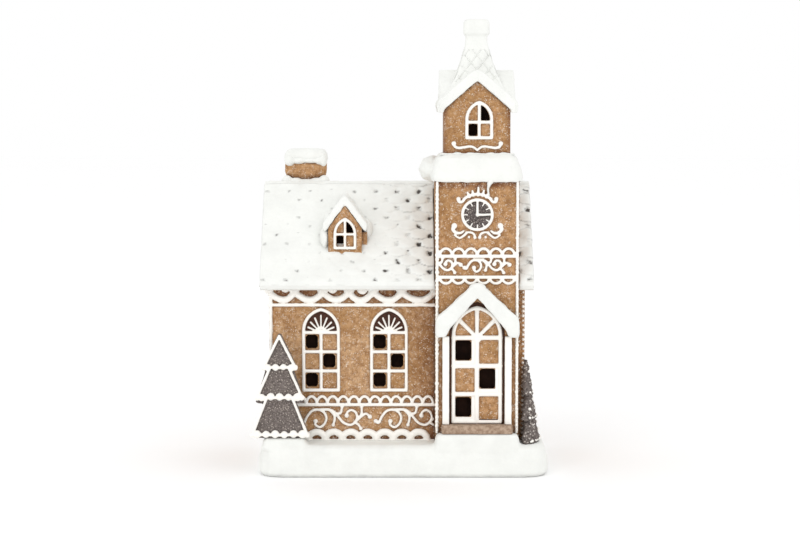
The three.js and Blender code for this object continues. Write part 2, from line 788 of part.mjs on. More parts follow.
function roofPanel() {
  const boardLength = slopeLength + roofBoard * roofSlope + cutOver;
  const board = new THREE.BoxGeometry(roofLength, boardLength, roofBoard)
    .translate(0, boardLength / 2, roofBoard / 2);
  const roll = (along, height) => toSolid(
    new THREE.CylinderGeometry(eaveRoll, eaveRoll, roofLength, 8).rotateZ(Math.PI / 2)
      .translate(0, along, height).applyMatrix4(roofFrame),
  );
  const whole = join([
    toSolid(board.applyMatrix4(roofFrame)),
    ...range(shingleRows).map(shingleRow),
    roll(eaveRollInset, eaveRoll - eaveRollInset),
    roll(slopeLength + roofBoard * roofSlope / 2, eaveRoll * 2 - roofBoard / 2 - ridgeRollSink),
  ]);
  const far = naveDepth;
  return whole.intersect(block(-roofLength / 2, roofLength / 2, -far, -fit / 2, 0, towerHeight * 2));
}

// Everything below the shingles' tops, for pieces that sit on the roof. The ridge is at y = ridgeY.
function roofBulk(halfX, ridgeY = 0) {
  const lift = (roofBoard + shingleLift + fit) / Math.cos(roofPitch);
  const low = underside(naveDepth) + lift;
  const top = underside(0) + lift;
  const outline = polygon([[ridgeY - naveDepth, low], [ridgeY + naveDepth, low], [ridgeY, top]]);
  return crossBar(outline, -halfX, halfX);
}

function roofFront() {
  const x = towerCenterX - naveCenterX;
  const y = towerCenterY - naveCenterY;
  const gap = fit * 1.5;
  const above = towerHeight * 2;
  const notchHalf = towerHalf + gap;
  const towerNotch = block(x - notchHalf, x + notchHalf, -naveDepth, y + notchHalf, 0, above);
  const lightFront = dormerFrontY + dormerLightSetBack;
  const dormerLight = block(
    dormerX - dormerLightWidth / 2, dormerX + dormerLightWidth / 2, lightFront, lightFront + dormerLightWidth,
    0, above,
  );
  return cut(roofPanel(), [towerNotch, dormerLight]);
}

addPiece(nave, "roof_front", roofFront(), snow);
addPiece(naveRear, "roof_back", roofPanel(), snow);

// Dormer on the front slope

const dormer = place(nave, dormerX, 0, 0);
const dormerFoot = underside(dormerFrontY) + (roofBoard + shingleLift + fit) / Math.cos(roofPitch);
const lifted = (size, base) => ({
  ...size,
  sill: size.sill + base,
  spring: size.spring + base,
  apex: size.apex + base,
  crossbar: size.crossbar + base,
});

function dormerBody() {
  const foot = dormerFoot;
  const under = foot - wallHeight / 2;
  const front = gable(dormerHalf, under, foot + dormerEaves, foot + dormerPeak);
  const cheeks = block(
    -dormerHalf - cheekReach, dormerHalf + cheekReach, dormerFrontY + cheekSetBack, dormerBackY,
    under, foot + cheekHeight,
  );
  const slopeRatio = (dormerPeak - dormerEaves) / dormerHalf;
  const roomPeak = foot + dormerPeak - dormerShell * Math.hypot(1, slopeRatio);
  const roomHalf = dormerHalf - dormerShell;
  const room = slab(
    gable(roomHalf, under - cutOver, roomPeak - roomHalf * slopeRatio, roomPeak),
    dormerFrontY + dormerShell, dormerBackY - dormerShell,
  );
  const paneBack = dormerFrontY + dormerShell + cutOver;
  const panes = crossPanes(lifted(dormerWindow, foot), dormerFrontY - cutOver, paneBack);
  const outer = slab(front, dormerFrontY, dormerBackY).add(cheeks);
  return cut(outer, [room, ...panes.dark, roofBulk(naveDepth)]);
}

function dormerSnow() {
  const foot = dormerFoot;
  const gap = fit * Math.hypot(1, (dormerPeak - dormerEaves) / dormerHalf);
  const rear = dormerBackY + dormerSnowThickness * 1.5;
  const cap = slab(snowChevron({
    half: dormerHalf, eaves: foot + dormerEaves + gap, peak: foot + dormerPeak + gap,
    thickness: dormerSnowThickness, overhang: dormerSnowThickness / 3,
  }), dormerFrontY - dormerSnowLip, rear, 3);
  const cheeks = block(
    -dormerHalf - cheekReach - fit, dormerHalf + cheekReach + fit, dormerFrontY, rear,
    foot - wallHeight / 2, foot + cheekHeight + fit,
  );
  return cut(cap, [cheeks, roofBulk(naveDepth)]);
}

addPiece(dormer, "dormer", dormerBody(), gingerbread);
addPiece(dormer, "dormer_snow", dormerSnow(), snow);
addPiece(dormer, "dormer_window", crossWindow(lifted(dormerWindow, dormerFoot), dormerFrontY), pipedIcing);

// Chimney on the back slope, close behind the ridge

const chimneyPlace = place(nave, chimneyX, chimneyY, 0);

function chimney() {
  const halfX = chimneyWidth / 2;
  const halfY = chimneyDepth / 2;
  const level = (inset, z) => ring(halfX - inset, halfY - inset, 2, z, 0, 0, 2);
  const stack = toSolid(loft([
    level(1.5, chimneyTop - 40), level(1.5, chimneyTop - 12), level(0, chimneyTop - 6), level(0, chimneyTop),
  ]));
  return stack.subtract(roofBulk(naveDepth, -chimneyY));
}

function chimneySnow() {
  const halfX = chimneyWidth / 2 + 0.8;
  const halfY = chimneyDepth / 2 + 0.8;
  const top = chimneyTop + chimneySnowHeight;
  const level = (inset, z) => ring(halfX - inset, halfY - inset, 3.6, z, 0, 0, 3);
  return toSolid(loft([
    level(1, chimneyTop), level(0, chimneyTop + 2.5),
    level(0.6, top - 3), level(2.2, top - 0.9), level(4.8, top),
  ]));
}

addPiece(chimneyPlace, "chimney", chimney(), gingerbread);
addPiece(chimneyPlace, "chimney_snow", chimneySnow(), snow);

// Icing on the nave's front

// Swags under the eave, the string line that they touch, and the line down the corner.
function eaveSwags() {
  const hang = stringHeight + swagDrop;
  return join([
    arches(naveLeft, frontWallRight, swagCount, hang, -swagDrop, swagWidth, naveFront),
    stripe(naveLeft, frontWallRight, stringHeight - line / 2, stringHeight + line / 2, naveFront),
    stripe(naveLeft, naveLeft + line, 0, hang, naveFront),
  ]);
}

// One period of a running scroll that hangs from z = top: a curl that winds down, a wave that runs on into a
// curl that winds up, and leaves. Leaves that touch the line above hold the scroll to it. Lengths are shares
// of the period, so that the scroll can be piped in any size.
function scrollPeriodAt(x, top, period, back, width) {
  const at = ([along, down]) => [x + along * period, top - down * period];
  const path = (...points) => through(...points.map(at));
  const strokes = [
    [path([-0.1, 0.2], [-0.06, 0.22], [-0.02, 0.14], [0.05, 0.06], [0.14, 0.045], [0.21, 0.085],
      [0.24, 0.16], [0.21, 0.24], [0.15, 0.28], [0.09, 0.245], [0.095, 0.2]), 11],
    [path([0.14, 0.045], [0.28, 0.045], [0.36, 0.09], [0.41, 0.155], [0.47, 0.22], [0.55, 0.25],
      [0.61, 0.225], [0.65, 0.155], [0.63, 0.08], [0.57, 0.05], [0.52, 0.08], [0.51, 0.125]), 11],
    [path([0.28, 0.045], [0.34, 0.11], [0.35, 0.17], [0.33, 0.25]), 3],
    [path([0.37, 0.1], [0.43, 0.085], [0.45, 0]), 3],
    [path([0.61, 0.225], [0.7, 0.14], [0.77, 0.1], [0.82, 0.14]), 3],
    [path([0.68, 0.16], [0.71, 0.09], [0.71, 0]), 2],
    [path([0.62, 0.215], [0.67, 0.25], [0.7, 0.3]), 2],
  ];
  const wave = 1;
  const heads = strokes.filter((stroke, i) => i !== wave).map(([curve]) => curve.getPoint(1));
  return join([
    ...strokes.map(([curve, steps]) => bead(curve, back, { width, steps, endScale: 0.8 })),
    ...[strokes[0][0].getPoint(0), strokes[wave][0].getPoint(1), ...heads].map((end) => (
      drop(end.x, end.y, width * 0.8, back)
    )),
  ]);
}

// Small arches, the line below them, and running scrolls hanging from the line.
function lowerIcingBand() {
  const left = naveLeft + line + fit;
  const count = Math.round((frontWallRight - left) / bandScallopPitch);
  const low = bandLine - line / 2;
  const first = naveLeft + scrollStart;
  const periods = Math.ceil((frontWallRight - first) / scrollPeriod);
  const scrolls = range(periods).map((i) => (
    scrollPeriodAt(first + i * scrollPeriod, low, scrollPeriod, naveFront, thinLine)
  ));
  const field = block(left, frontWallRight, naveFront - icing * 2, naveFront, 0, bandLine * 2);
  return join([
    arches(left, frontWallRight, count, bandLine, bandScallopRise + line / 2, thinLine, naveFront),
    stripe(left, frontWallRight, low, bandLine + line / 2, naveFront),
    ...scrolls.map((scroll) => scroll.intersect(field)),
  ]);
}

// Domes of snow along the foot of the wall, each with a small hollow.
function snowScallops() {
  const left = naveLeft + line + fit;
  const count = Math.round((frontWallRight - left) / domePitch);
  const overlap = fit / 2;
  const pitch = (frontWallRight - left - overlap * 2) / count;
  const domes = range(count).map((i) => {
    const middle = left + overlap + pitch * (i + 0.5);
    const shape = new THREE.Shape();
    const half = pitch / 2 + overlap;
    shape.moveTo(middle + half, 0);
    shape.absellipse(middle, 0, half, domeRise, 0, Math.PI);
    const mouth = new THREE.Shape().absellipse(middle, 0, domeHollow, domeHollow * 1.2, 0, Math.PI);
    const hollow = slab(mouth, naveFront - icing * 3, naveFront, 1);
    return slab(shape, naveFront - icing * 1.2, naveFront, 3).subtract(hollow);
  });
  return join([stripe(left, frontWallRight, domeRise / 2 - fit, domeRise / 2 + fit, naveFront), ...domes]);
}

addPiece(nave, "eave_swags", eaveSwags(), pipedIcing);
addPiece(nave, "lower_icing_band", lowerIcingBand(), pipedIcing);
addPiece(nave, "snow_scallops", snowScallops(), snow);
["window_left", "window_right"].forEach((name, i) => {
  addPiece(nave, name, fanWindow(naveWindow, naveFront), pipedIcing, naveWindowPlaces[i]);
});

// Back wall: the same windows, all blind, hung by drops of icing from a plain string line.
function backIcing() {
  const windows = rearWindowPlaces.map((x) => fanWindow({ ...naveWindow, rays: 3 }, naveFront, x));
  const hangerZ = (naveWindow.apex + stringHeight) / 2;
  const drops = rearWindowPlaces.map((x) => drop(x, hangerZ, line * 0.8, naveFront));
  const string = stripe(naveLeft, -naveLeft, stringHeight - line / 2, stringHeight + line / 2, naveFront);
  return join([string, ...windows, ...drops]);
}

addPiece(naveRear, "back_icing", backIcing(), pipedIcing);

// Tower walls

function towerFront() {
  const panel = block(-towerHalf, towerHalf, -towerHalf, -towerHalf + wall, 0, towerHeight);
  const holes = squarePanes(door).filter((pane) => pane.dark)
    .map((pane) => lightHole(pane, door.draft, -towerHalf, -towerHalf + wall));
  return cut(panel, holes);
}

function towerBack() {
  return block(-towerHalf, towerHalf, towerHalf - wall, towerHalf, 0, towerHeight);
}

function towerSide(side) {
  const x0 = side < 0 ? -towerHalf : towerHalf - wall;
  return block(x0, x0 + wall, -towerHalf + wall, towerHalf - wall, 0, towerHeight);
}

// The side that stands in the nave has a hole at its foot for the lead.
function towerLeft() {
  const halfHole = leadRadius + fit * 2;
  return towerSide(-1).subtract(block(-towerHalf * 2, 0, -halfHole, halfHole, -cutOver, leadNotch));
}

addPiece(tower, "tower_front", towerFront(), gingerbread);
addPiece(tower, "tower_back", towerBack(), gingerbread);
addPiece(tower, "tower_left", towerLeft(), gingerbread);
addPiece(tower, "tower_right", towerSide(1), gingerbread);

// Icing on the tower's front: corner lines, two string lines, scallops, and scrolls between the lines
function towerIcing() {
  const face = -towerHalf;
  const inner = towerHalf - line;
  const corner = (left, foot) => stripe(left, left + line, foot, towerHeight - ledgeDrop - fit, face);
  const stringLine = (z) => stripe(-inner, inner, z - line / 2, z + line / 2, face);
  const period = (towerBand - line) / towerScrollDepth;
  const top = towerLineHigh - line / 2;
  const scroll = (i) => scrollPeriodAt((i - towerScrollShift) * period, top, period, face, thinLine);
  const field = block(-inner, inner, face - icing * 2, face, towerLineLow, towerLineHigh);
  return join([
    corner(-towerHalf, bankHeight),
    corner(inner, bankHeight),
    stringLine(towerLineHigh),
    stringLine(towerLineLow),
    arches(-inner, inner, towerScallops, towerLineHigh, towerScallopRise + line / 2, thinLine, face),
    arches(-inner, inner, towerScallops, towerLineLow, -towerScallopRise * 0.8 - line / 2, thinLine, face),
    ...[-1, 0].map((i) => scroll(i).intersect(field)),
  ]);
}

addPiece(tower, "tower_icing", towerIcing(), pipedIcing);

// Clock

function clockFace() {
  const radius = clockRadius - clockRing;
  const geometry = new THREE.CylinderGeometry(radius, radius, icing * 0.5, 20);
  return toSolid(geometry.translate(0, -towerHalf - icing * 0.25, clockHeight));
}

// The ring with its hour marks, and the hands, which stand on the face and reach the marks.
function clockIcing() {
  const face = -towerHalf;
  const raised = face - icing * 0.5 - 0.02;
  const rim = new THREE.Shape().absarc(0, clockHeight, clockRadius, 0, Math.PI * 2);
  rim.holes.push(new THREE.Path().absarc(0, clockHeight, clockRadius - clockRing + 0.15, 0, Math.PI * 2));
  const inner = clockRadius - clockRing;
  const radial = (angle, from, to, width) => {
    const at = (radius) => [radius * Math.sin(angle), clockHeight + radius * Math.cos(angle)];
    return bead(through(at(from), at(to)), raised, { width, steps: 1, height: icing * 0.6 });
  };
  const marks = range(12).map((hour) => radial((hour * Math.PI) / 6, inner - 1.9, inner + 1, 1));
  const hands = [radial(0, -0.8, inner - 0.5, 1.5), radial(Math.PI / 2, -0.8, inner - 0.9, 1.5)];
  const knob = drop(0, clockHeight, 1.2, raised);
  return join([slab(rim, face - icing, face, 8), ...marks, ...hands, knob]);
}

// A crown of icing over the clock: an arc with curled ends and short rays.
function clockCrown() {
  const face = -towerHalf;
  const radius = clockRadius + crownGap;
  const spread = Math.PI * 0.27;
  const at = (angle, r) => [r * Math.sin(angle), clockHeight + r * Math.cos(angle)];
  const arc = new THREE.EllipseCurve(
    0, clockHeight, radius, radius, Math.PI / 2 + spread, Math.PI / 2 - spread, true,
  );
  const hook = crownRay * 0.9;
  const ends = [-1, 1].flatMap((side) => {
    const [x, z] = at(side * spread, radius);
    const tip = x + side * hook;
    const path = through([x, z], [x + side * hook / 2, z - hook * 0.35], [tip, z]);
    return [bead(path, face, { steps: 3, width: thinLine * 1.2 }), drop(tip, z, thinLine * 0.85, face)];
  });
  const rays = range(5).map((i) => {
    const angle = ((i - 2) * spread) / 4.2;
    const length = crownRay * (1 - Math.abs(i - 2) / 6);
    return bead(through(at(angle, radius), at(angle, radius + length)), face, { steps: 1, endScale: 0.8 });
  });
  return join([bead(arc, face, { steps: 6, width: thinLine * 1.2 }), ...ends, ...rays]);
}

// Two mirrored scrolls under the clock, joined in the middle. Points are shares of half width and height.
function clockScrolls() {
  const face = -towerHalf;
  const { half, height, gap } = clockScroll;
  const top = clockHeight - clockRadius - gap;
  const strokes = [-1, 1].flatMap((side) => {
    const path = (...points) => through(...points.map(([x, z]) => [side * x * half, top + z * height]));
    const main = path([0.25, 0], [0.4, -0.08], [0.62, 0], [0.83, 0.1], [0.98, 0.33], [0.97, 0.6]);
    const leaf = path([0.4, -0.08], [0.56, -0.32], [0.74, -0.43], [0.91, -0.23]);
    const inner = path([0.25, 0], [0.13, -0.15], [0.11, -0.4]);
    const head = path([0.92, 0.62], [0.97, 0.6]).getPoint(0);
    return [
      bead(main, face, { width: thinLine * 1.4, steps: 6 }),
      bead(leaf, face, { steps: 4 }),
      bead(inner, face, { steps: 2 }),
      drop(head.x, head.y, thinLine * 1.2, face),
      drop(inner.getPoint(1).x, inner.getPoint(1).y, thinLine * 0.8, face),
    ];
  });
  const bridge = bead(through([-half / 4, top], [0, top + fit], [half / 4, top]), face, { steps: 2 });
  return join([...strokes, bridge]);
}

addPiece(tower, "clock_face", clockFace(), clockGrey);
addPiece(tower, "clock_icing", clockIcing(), pipedIcing);
addPiece(tower, "clock_crown", clockCrown(), pipedIcing);
addPiece(tower, "clock_scrolls", clockScrolls(), pipedIcing);

// Door, porch and doorstep. The pillars and the door stand on the step, the step on the bank of snow.

function doorStep() {
  const halfY = stepReach / 2;
  const middle = -towerHalf - halfY;
  return toSolid(loft([
    ring(stepHalf, halfY, 1.2, bankHeight, 0, middle, 2), ring(stepHalf, halfY, 1.2, door.sill, 0, middle, 2),
  ]));
}

// A heavy inverted V of snow whose feet rest on the pillars.
function porchSnowCap() {
  const slope = (porchApex - porchShoulder) / porchHalf;
  const up = porchSnow * Math.hypot(1, slope);
  const innerHalf = porchHalf - porchFootWidth;
  const innerApex = porchApex - up;
  const innerShoulder = innerApex - innerHalf * slope * 1.05;
  const shape = new THREE.Shape();
  shape.moveTo(-porchHalf, porchFoot + 2);
  shape.quadraticCurveTo(-porchHalf, porchFoot, -porchHalf + 2, porchFoot);
  shape.lineTo(-innerHalf - 1, porchFoot);
  shape.quadraticCurveTo(-innerHalf + 0.6, porchFoot, -innerHalf + 1.4, porchFoot + 3);
  shape.lineTo(-innerHalf + 2.4, innerShoulder);
  shape.lineTo(0, innerApex);
  shape.lineTo(innerHalf - 2.4, innerShoulder);
  shape.lineTo(innerHalf - 1.4, porchFoot + 3);
  shape.quadraticCurveTo(innerHalf - 0.6, porchFoot, innerHalf + 1, porchFoot);
  shape.lineTo(porchHalf - 2, porchFoot);
  shape.quadraticCurveTo(porchHalf, porchFoot, porchHalf, porchFoot + 2);
  shape.lineTo(porchHalf, porchShoulder - 2);
  shape.quadraticCurveTo(porchHalf, porchShoulder, porchHalf - 1.4, porchShoulder + 1.6);
  shape.lineTo(3, porchApex - 3 * slope);
  shape.quadraticCurveTo(0, porchApex, -3, porchApex - 3 * slope);
  shape.lineTo(-porchHalf + 1.4, porchShoulder + 1.6);
  shape.quadraticCurveTo(-porchHalf, porchShoulder, -porchHalf, porchShoulder - 2);
  return slab(shape, -towerHalf - icing - fit - porchReach, -towerHalf - icing - fit, 3);
}

function pillar(side) {
  const x = side * pillarPlace;
  const outline = rectangle(x - pillarWidth / 2, x + pillarWidth / 2, door.sill, porchFoot);
  return slab(outline, -towerHalf - pillarWidth, -towerHalf);
}

addPiece(tower, "doorstep", doorStep(), stepStone);
addPiece(tower, "door", fanWindow(door, -towerHalf), pipedIcing);
addPiece(tower, "porch_pillar_left", pillar(-1), pipedIcing);
addPiece(tower, "porch_pillar_right", pillar(1), pipedIcing);
addPiece(tower, "porch_snow", porchSnowCap(), snow);

// Snow ledge on top of the tower walls, with a light hole up into the belfry

function ledgeSnow() {
  const half = towerHalf + ledgeOverhang;
  const foot = towerHeight - ledgeDrop;
  const top = towerHeight + ledgeRise;
  const level = (inset, z) => ring(half - inset, half - inset, 4.6, z, 0, 0, 3);
  const drift = toSolid(new THREE.SphereGeometry(1, 8, 6).scale(9, 17, 9)
    .translate(-towerHalf - 1.5, 4, towerHeight + 2));
  const whole = toSolid(loft([
    level(0.8, foot), level(0, foot + 2.6), level(0.8, foot + 7), level(3.4, top - 2.4), level(6, top),
  ])).add(drift);
  const walls = block(
    -towerHalf - fit, towerHalf + fit, -towerHalf - fit, towerHalf + fit, 0, towerHeight,
  );
  const lightHalf = belfryHalf - belfryWall - 2;
  const above = block(-half * 2, half * 2, -half * 2, half * 2, top, top * 2);
  return cut(whole, [walls, block(-lightHalf, lightHalf, -lightHalf, lightHalf, 0, top + cutOver), above]);
}

addPiece(tower, "ledge_snow", ledgeSnow(), snow);

// Belfry: a square stage with a gable on each side. Grown by a gap and drawn out to reach, it also cuts the
// pieces above it.
function crossGable(grow, reach) {
  const half = belfryHalf + grow;
  const slope = (belfryPeak - belfryEaves) / belfryHalf;
  const lift = grow * Math.hypot(1, slope);
  const outline = gable(half, 0, belfryEaves + lift - grow * slope, belfryPeak + lift);
  return slab(outline, -reach, reach).add(crossBar(outline, -reach, reach));
}

function belfry() {
  const room = belfryHalf - belfryWall;
  const roomOutline = gable(room, -cutOver, belfryEaves - 2, belfryPeak - belfryWall * 1.6);
  const panes = crossPanes(belfryWindow, -belfryHalf - cutOver, -room + cutOver, belfryWindowX);
  return cut(crossGable(0, belfryHalf), [slab(roomOutline, -room, room), ...panes.dark]);
}

// The spire's flared sides, grown by a gap where it cuts the snow round its foot.
function spireShape(grow) {
  return toSolid(loft(range(spireLevels + 1).map((i) => {
    const t = i / spireLevels;
    const half = spireNeckHalf + (spireFootHalf - spireNeckHalf) * (1 - t) ** spireFlare + grow;
    return squareRing(half, spireFoot + spireHeight * t - (i === 0 ? grow : 0));
  })));
}

function spire() {
  return spireShape(0).subtract(crossGable(fit, spireFootHalf * 2));
}

function belfryRoof() {
  const reach = belfryHalf + belfryOverhang + 1.4;
  const shape = snowChevron({
    half: belfryHalf, eaves: belfryEaves, peak: belfryPeak, thickness: belfrySnow, overhang: belfryOverhang,
  });
  return cut(slab(shape, -reach, reach, 2).add(crossBar(shape, -reach, reach, 2)), [
    crossGable(fit, reach * 2), spireShape(fit),
  ]);
}

function spireCap() {
  const half = capWidth / 2;
  const level = (inset, z) => ring(half - inset, half - inset, 2.4, z, 0, 0, 2);
  return toSolid(loft([
    level(0.8, 0), level(0, 1), level(0, capHeight - 2.2), level(0.9, capHeight - 0.7), level(2.4, capHeight),
  ]));
}

// A brace of icing under the belfry window. Points are shares of its half width and height.
function belfrySwirl() {
  const face = -belfryHalf;
  const { half, height, rise } = swirl;
  const strokes = [-1, 1].flatMap((side) => {
    const points = [[0, 0], [0.22, 0.52], [0.45, 0.48], [0.71, 0.3], [0.91, 0.43], [1, 1]];
    const path = through(...points.map(([x, z]) => [side * x * half, rise + z * height]));
    return [
      bead(path, face, { width: thinLine * 1.2, steps: 8, startScale: 0.7 }),
      drop(side * half * 0.985, rise + height, thinLine * 0.9, face),
    ];
  });
  return join(strokes);
}

addPiece(belfryStage, "belfry", belfry(), gingerbread);
addPiece(belfryStage, "belfry_window", crossWindow(belfryWindow, -belfryHalf), pipedIcing, belfryWindowX);
addPiece(belfryStage, "belfry_swirl", belfrySwirl(), pipedIcing);
addPiece(belfryStage, "spire", spire(), snow);
addPiece(belfryStage, "belfry_roof", belfryRoof(), snow);
addPiece(place(belfryStage, 0, 0, spireFoot + spireHeight), "spire_cap", spireCap(), snow);

// Trees: flat cookies of three tiers with scalloped hems, and a piped border on the front face

const treeTiers = [
  { low: 0, high: 0.363, lowHalf: 1, highHalf: 0.52 },
  { low: 0.335, high: 0.68, lowHalf: 0.82, highHalf: 0.45 },
  { low: 0.655, high: 1, lowHalf: 0.6, highHalf: 0.05 },
];

function tierOutline({ low, high, lowHalf, highHalf }, { height, half }, inset, bumps) {
  const foot = low * height + inset * 1.5;
  const top = high * height - inset * (highHalf < 0.1 ? 2.6 : 0.6);
  const narrow = Math.max(highHalf * half - inset, 0.4);
  const wide = lowHalf * half - inset * 1.6;
  const step = (wide * 2) / bumps;
  const sag = inset > 0 ? step * 0.42 : step * 0.16;
  const shape = new THREE.Shape();
  shape.moveTo(narrow, top);
  shape.lineTo(-narrow, top);
  for (const i of range(bumps)) {
    shape.absellipse(-wide + step * (i + 0.5), foot + sag, step / 2, sag, Math.PI, Math.PI * 2);
  }
  return shape;
}

function treeBody(size) {
  const half = treeThickness / 2;
  const footHalf = size.half * 0.6;
  const tiers = treeTiers.map((tier) => slab(tierOutline(tier, size, 0, 4), -half, half, 2));
  return join(tiers).add(block(-footHalf, footHalf, -half, half, 0, size.height * 0.1));
}

function treeIcing(size) {
  const back = -treeThickness / 2 - fit;
  const front = back - icing * 0.8;
  const border = join(treeTiers.map((tier) => slab(tierOutline(tier, size, 0, 4), front, back, 2)));
  const fields = treeTiers.map((tier) => (
    slab(tierOutline(tier, size, treeBorder, 3), front - cutOver, back + cutOver, 2)
  ));
  return cut(border, fields);
}

for (const [name, size] of [["tree_left", leftTree], ["tree_right", rightTree]]) {
  const tree = place(house, size.x, size.y, baseHeight + size.rest, size.turn);
  addPiece(tree, name, treeBody(size), cookieGrey);
  addPiece(tree, `${name}_icing`, treeIcing(size), pipedIcing);
}

// Lamps: each on a holder that stands on the base, fed by one branched lead from the switch bay

const naveLamp = { x: 14, y: 14 };
const towerLamp = { x: towerCenterX, y: towerCenterY };

function lamp({ x, y }) {
  const foot = holderHeight;
  const rim = ledRadius + ledRim;
  const shoulder = foot + ledRadius * 2;
  const profile = [
    [0, foot], [rim, foot], [rim, foot + ledRim * 2], [ledRadius, foot + ledRim * 2], [ledRadius, shoulder],
    [ledRadius * 0.7, shoulder + ledRadius * 0.7], [0, shoulder + ledRadius],
  ].map(([radius, z]) => new THREE.Vector2(radius, z));
  return toSolid(new THREE.LatheGeometry(profile, 8).rotateX(Math.PI / 2).translate(x, y, baseHeight));
}

function lampHolder({ x, y }) {
  const foot = rod(holderRadius * 1.6, x, y, baseHeight, baseHeight + holderFoot, 12);
  return foot.add(rod(holderRadius, x, y, baseHeight, baseHeight + holderHeight, 12));
}

// The lead rises through the open switch bay and forks to the two holders.
function lightLeads() {
  const height = baseHeight + holderFoot + leadRadius + fit;
  const start = new THREE.Vector3(boxX + boxRight - boxWall - 3, boxY, trayFloor + switchHeight + fit);
  const rise = [
    start, new THREE.Vector3(start.x, boxY, baseHeight), new THREE.Vector3(start.x + 4, boxY, height),
  ];
  const section = new THREE.Shape().absarc(0, 0, leadRadius, 0, Math.PI * 2);
  const leadTo = (lampPlace, steps, ...bends) => {
    const end = new THREE.Vector3(lampPlace.x - holderRadius - fit * 2, lampPlace.y, height);
    const path = new THREE.CatmullRomCurve3([...rise, ...bends, end]);
    return toSolid(new THREE.ExtrudeGeometry(section, {
      extrudePath: path, steps, curveSegments: 3, bevelEnabled: false,
    }));
  };
  const toTower = [
    new THREE.Vector3(start.x + 8, (naveLamp.y + towerLamp.y) / 2, height),
    new THREE.Vector3(towerLamp.x - towerHalf - 6, towerLamp.y, height),
    new THREE.Vector3(towerLamp.x - towerHalf + wall, towerLamp.y, height),
  ];
  return leadTo(naveLamp, 5).add(leadTo(towerLamp, 10, ...toTower));
}

addPiece(house, "nave_led", lamp(naveLamp), lampEpoxy);
addPiece(house, "nave_led_holder", lampHolder(naveLamp), whitePlastic);
addPiece(house, "tower_led", lamp(towerLamp), lampEpoxy);
addPiece(house, "tower_led_holder", lampHolder(towerLamp), whitePlastic);
addPiece(house, "light_leads", lightLeads(), blackPlastic);

export default house;
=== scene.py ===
"""The looks of the lighted gingerbread house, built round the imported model. +Z is up, the front faces -Y."""
import json
import random
from itertools import product
from math import atan2, cos, hypot, pi, radians, sin, sqrt, tan

import bmesh
import bpy
from mathutils import Matrix, Vector, noise
from mathutils.bvhtree import BVHTree


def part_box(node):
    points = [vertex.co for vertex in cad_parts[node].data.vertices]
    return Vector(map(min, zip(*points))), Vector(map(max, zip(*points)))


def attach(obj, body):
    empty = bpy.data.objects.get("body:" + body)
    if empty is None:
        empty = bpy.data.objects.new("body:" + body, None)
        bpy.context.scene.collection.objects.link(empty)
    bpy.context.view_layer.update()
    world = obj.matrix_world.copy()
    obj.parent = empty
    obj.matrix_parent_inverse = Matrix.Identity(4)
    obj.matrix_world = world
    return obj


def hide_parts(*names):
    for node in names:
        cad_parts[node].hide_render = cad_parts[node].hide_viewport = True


MM = 0.001  # one millimetre in the scene's metres
HOUSE = "house"

# Camera: from the front and slightly above
VIEW_TARGET = Vector((0.0, -45, 131.3)) * MM
VIEW_DISTANCE = 1250 * MM
VIEW_ELEVATION = radians(5)
SENSOR_WIDTH = 36.0
FOCAL_LENGTH = 89.3
WORLD_LIGHT = 1.0
KEY_POWER = 3.4
FILL_POWER = 1.6

# Colours
GINGER_DARK = "8E6236"
GINGER_MID = "B08556"
GINGER_LIGHT = "C9A178"
GINGER_BROWN = "C6996C"
# Browns of painted shade: the darkest two in the painted shadow round the door's frame, the middle one in
# creases, and the lightest in bands under the eave and the ledge and near corners. The darkest two also colour
# the dark fields behind the window fans, and the middle one the gingerbread's pits.
DEEP_BROWN_AND_SHADOW = "35190B"
DARK_BROWN_AND_SHADE = "4A2712"
PAINTED_SHADE_BROWN = "6E4020"
# Painted shade of the unlit inside, seen through the light holes
HOLE_SHADE_DARK = "130A07"
HOLE_SHADE_LIGHT = "23150F"
SUGAR = "F3E9DB"
SNOW_WHITE = "EFF0EC"
# SNOW_SHADE and SNOW_DARK are painted shade in the snow's hollows and the roof's joints; SNOW_SHADE also tints
# the snow a little at random
SNOW_SHADE = "AFAFAC"
SNOW_DARK = "4E4844"
ICING_WHITE = "FBF8F2"
# Brown painted shade where the icing meets the gingerbread
ICING_SHADE = "8A6440"
COOKIE_DARK = "4F4744"
COOKIE_MID = "7D736E"
COOKIE_LIGHT = "B9AEA4"
COOKIE_SUGAR = "D2CAC2"
# CLOCK_DARK is the clock's own dark, and also the painted shade in every cookie's creases
CLOCK_DARK = "2C2524"
CLOCK_MID = "6B615E"
STEP_DARK = "8F7560"
STEP_LIGHT = "B9A18C"
PLASTIC_WHITE = "E6E4DE"
PLASTIC_BLACK = "1D1D1F"
STEEL = "B9BCC0"
CELL_SLEEVE = "3C4046"
GRAIN_GREY = "808080"
LAMP_LIGHT = "FFF0C8"
LAMP_WARM = "FFDF9A"

# The roof's own sizes, in millimetres
ROOF_PITCH = radians(48.5)
EAVE_OVERHANG = 6.0
ROOF_GAP = 0.3
ROOF_BOARD = 3.4
SHINGLE_ROWS = 11
SHINGLE_WIDTH = 14.0
SHINGLE_DROP = 4.6
SHINGLE_LIFT = 1.6
SNOW_GRID = 0.8
SNOW_COVER = 0.5
SNOW_START = -0.6  # up the slope from the eave
SNOW_OVERRUN = 2.0
WEAR_AND_SHADE_SPAN = (-28, 17)  # X where the snow starts to thin out and to take painted shade, and where both are most
SPOT_WIDTH = 7.0
SPOT_RISE = 7.13
EAVE_RADIUS = 3.0
RIDGE_RADIUS = 3.7
FRONT_EAVE_DRIPS = ((14, 1.2, 5), (43, 1.8, 6), (68, 2.2, 5), (88, 1.0, 4))  # place, reach, width
BACK_EAVE_DRIPS = ((20, 1.5, 5), (60, 2.0, 6), (101, 1.4, 5), (140, 2.0, 6))

# Piped icing, in millimetres
ICING_HEIGHT = 1.7
LINE = 2.2
CURL = 1.8
STROKE_SIDES = 7
PIPING_VOXEL = 0.3

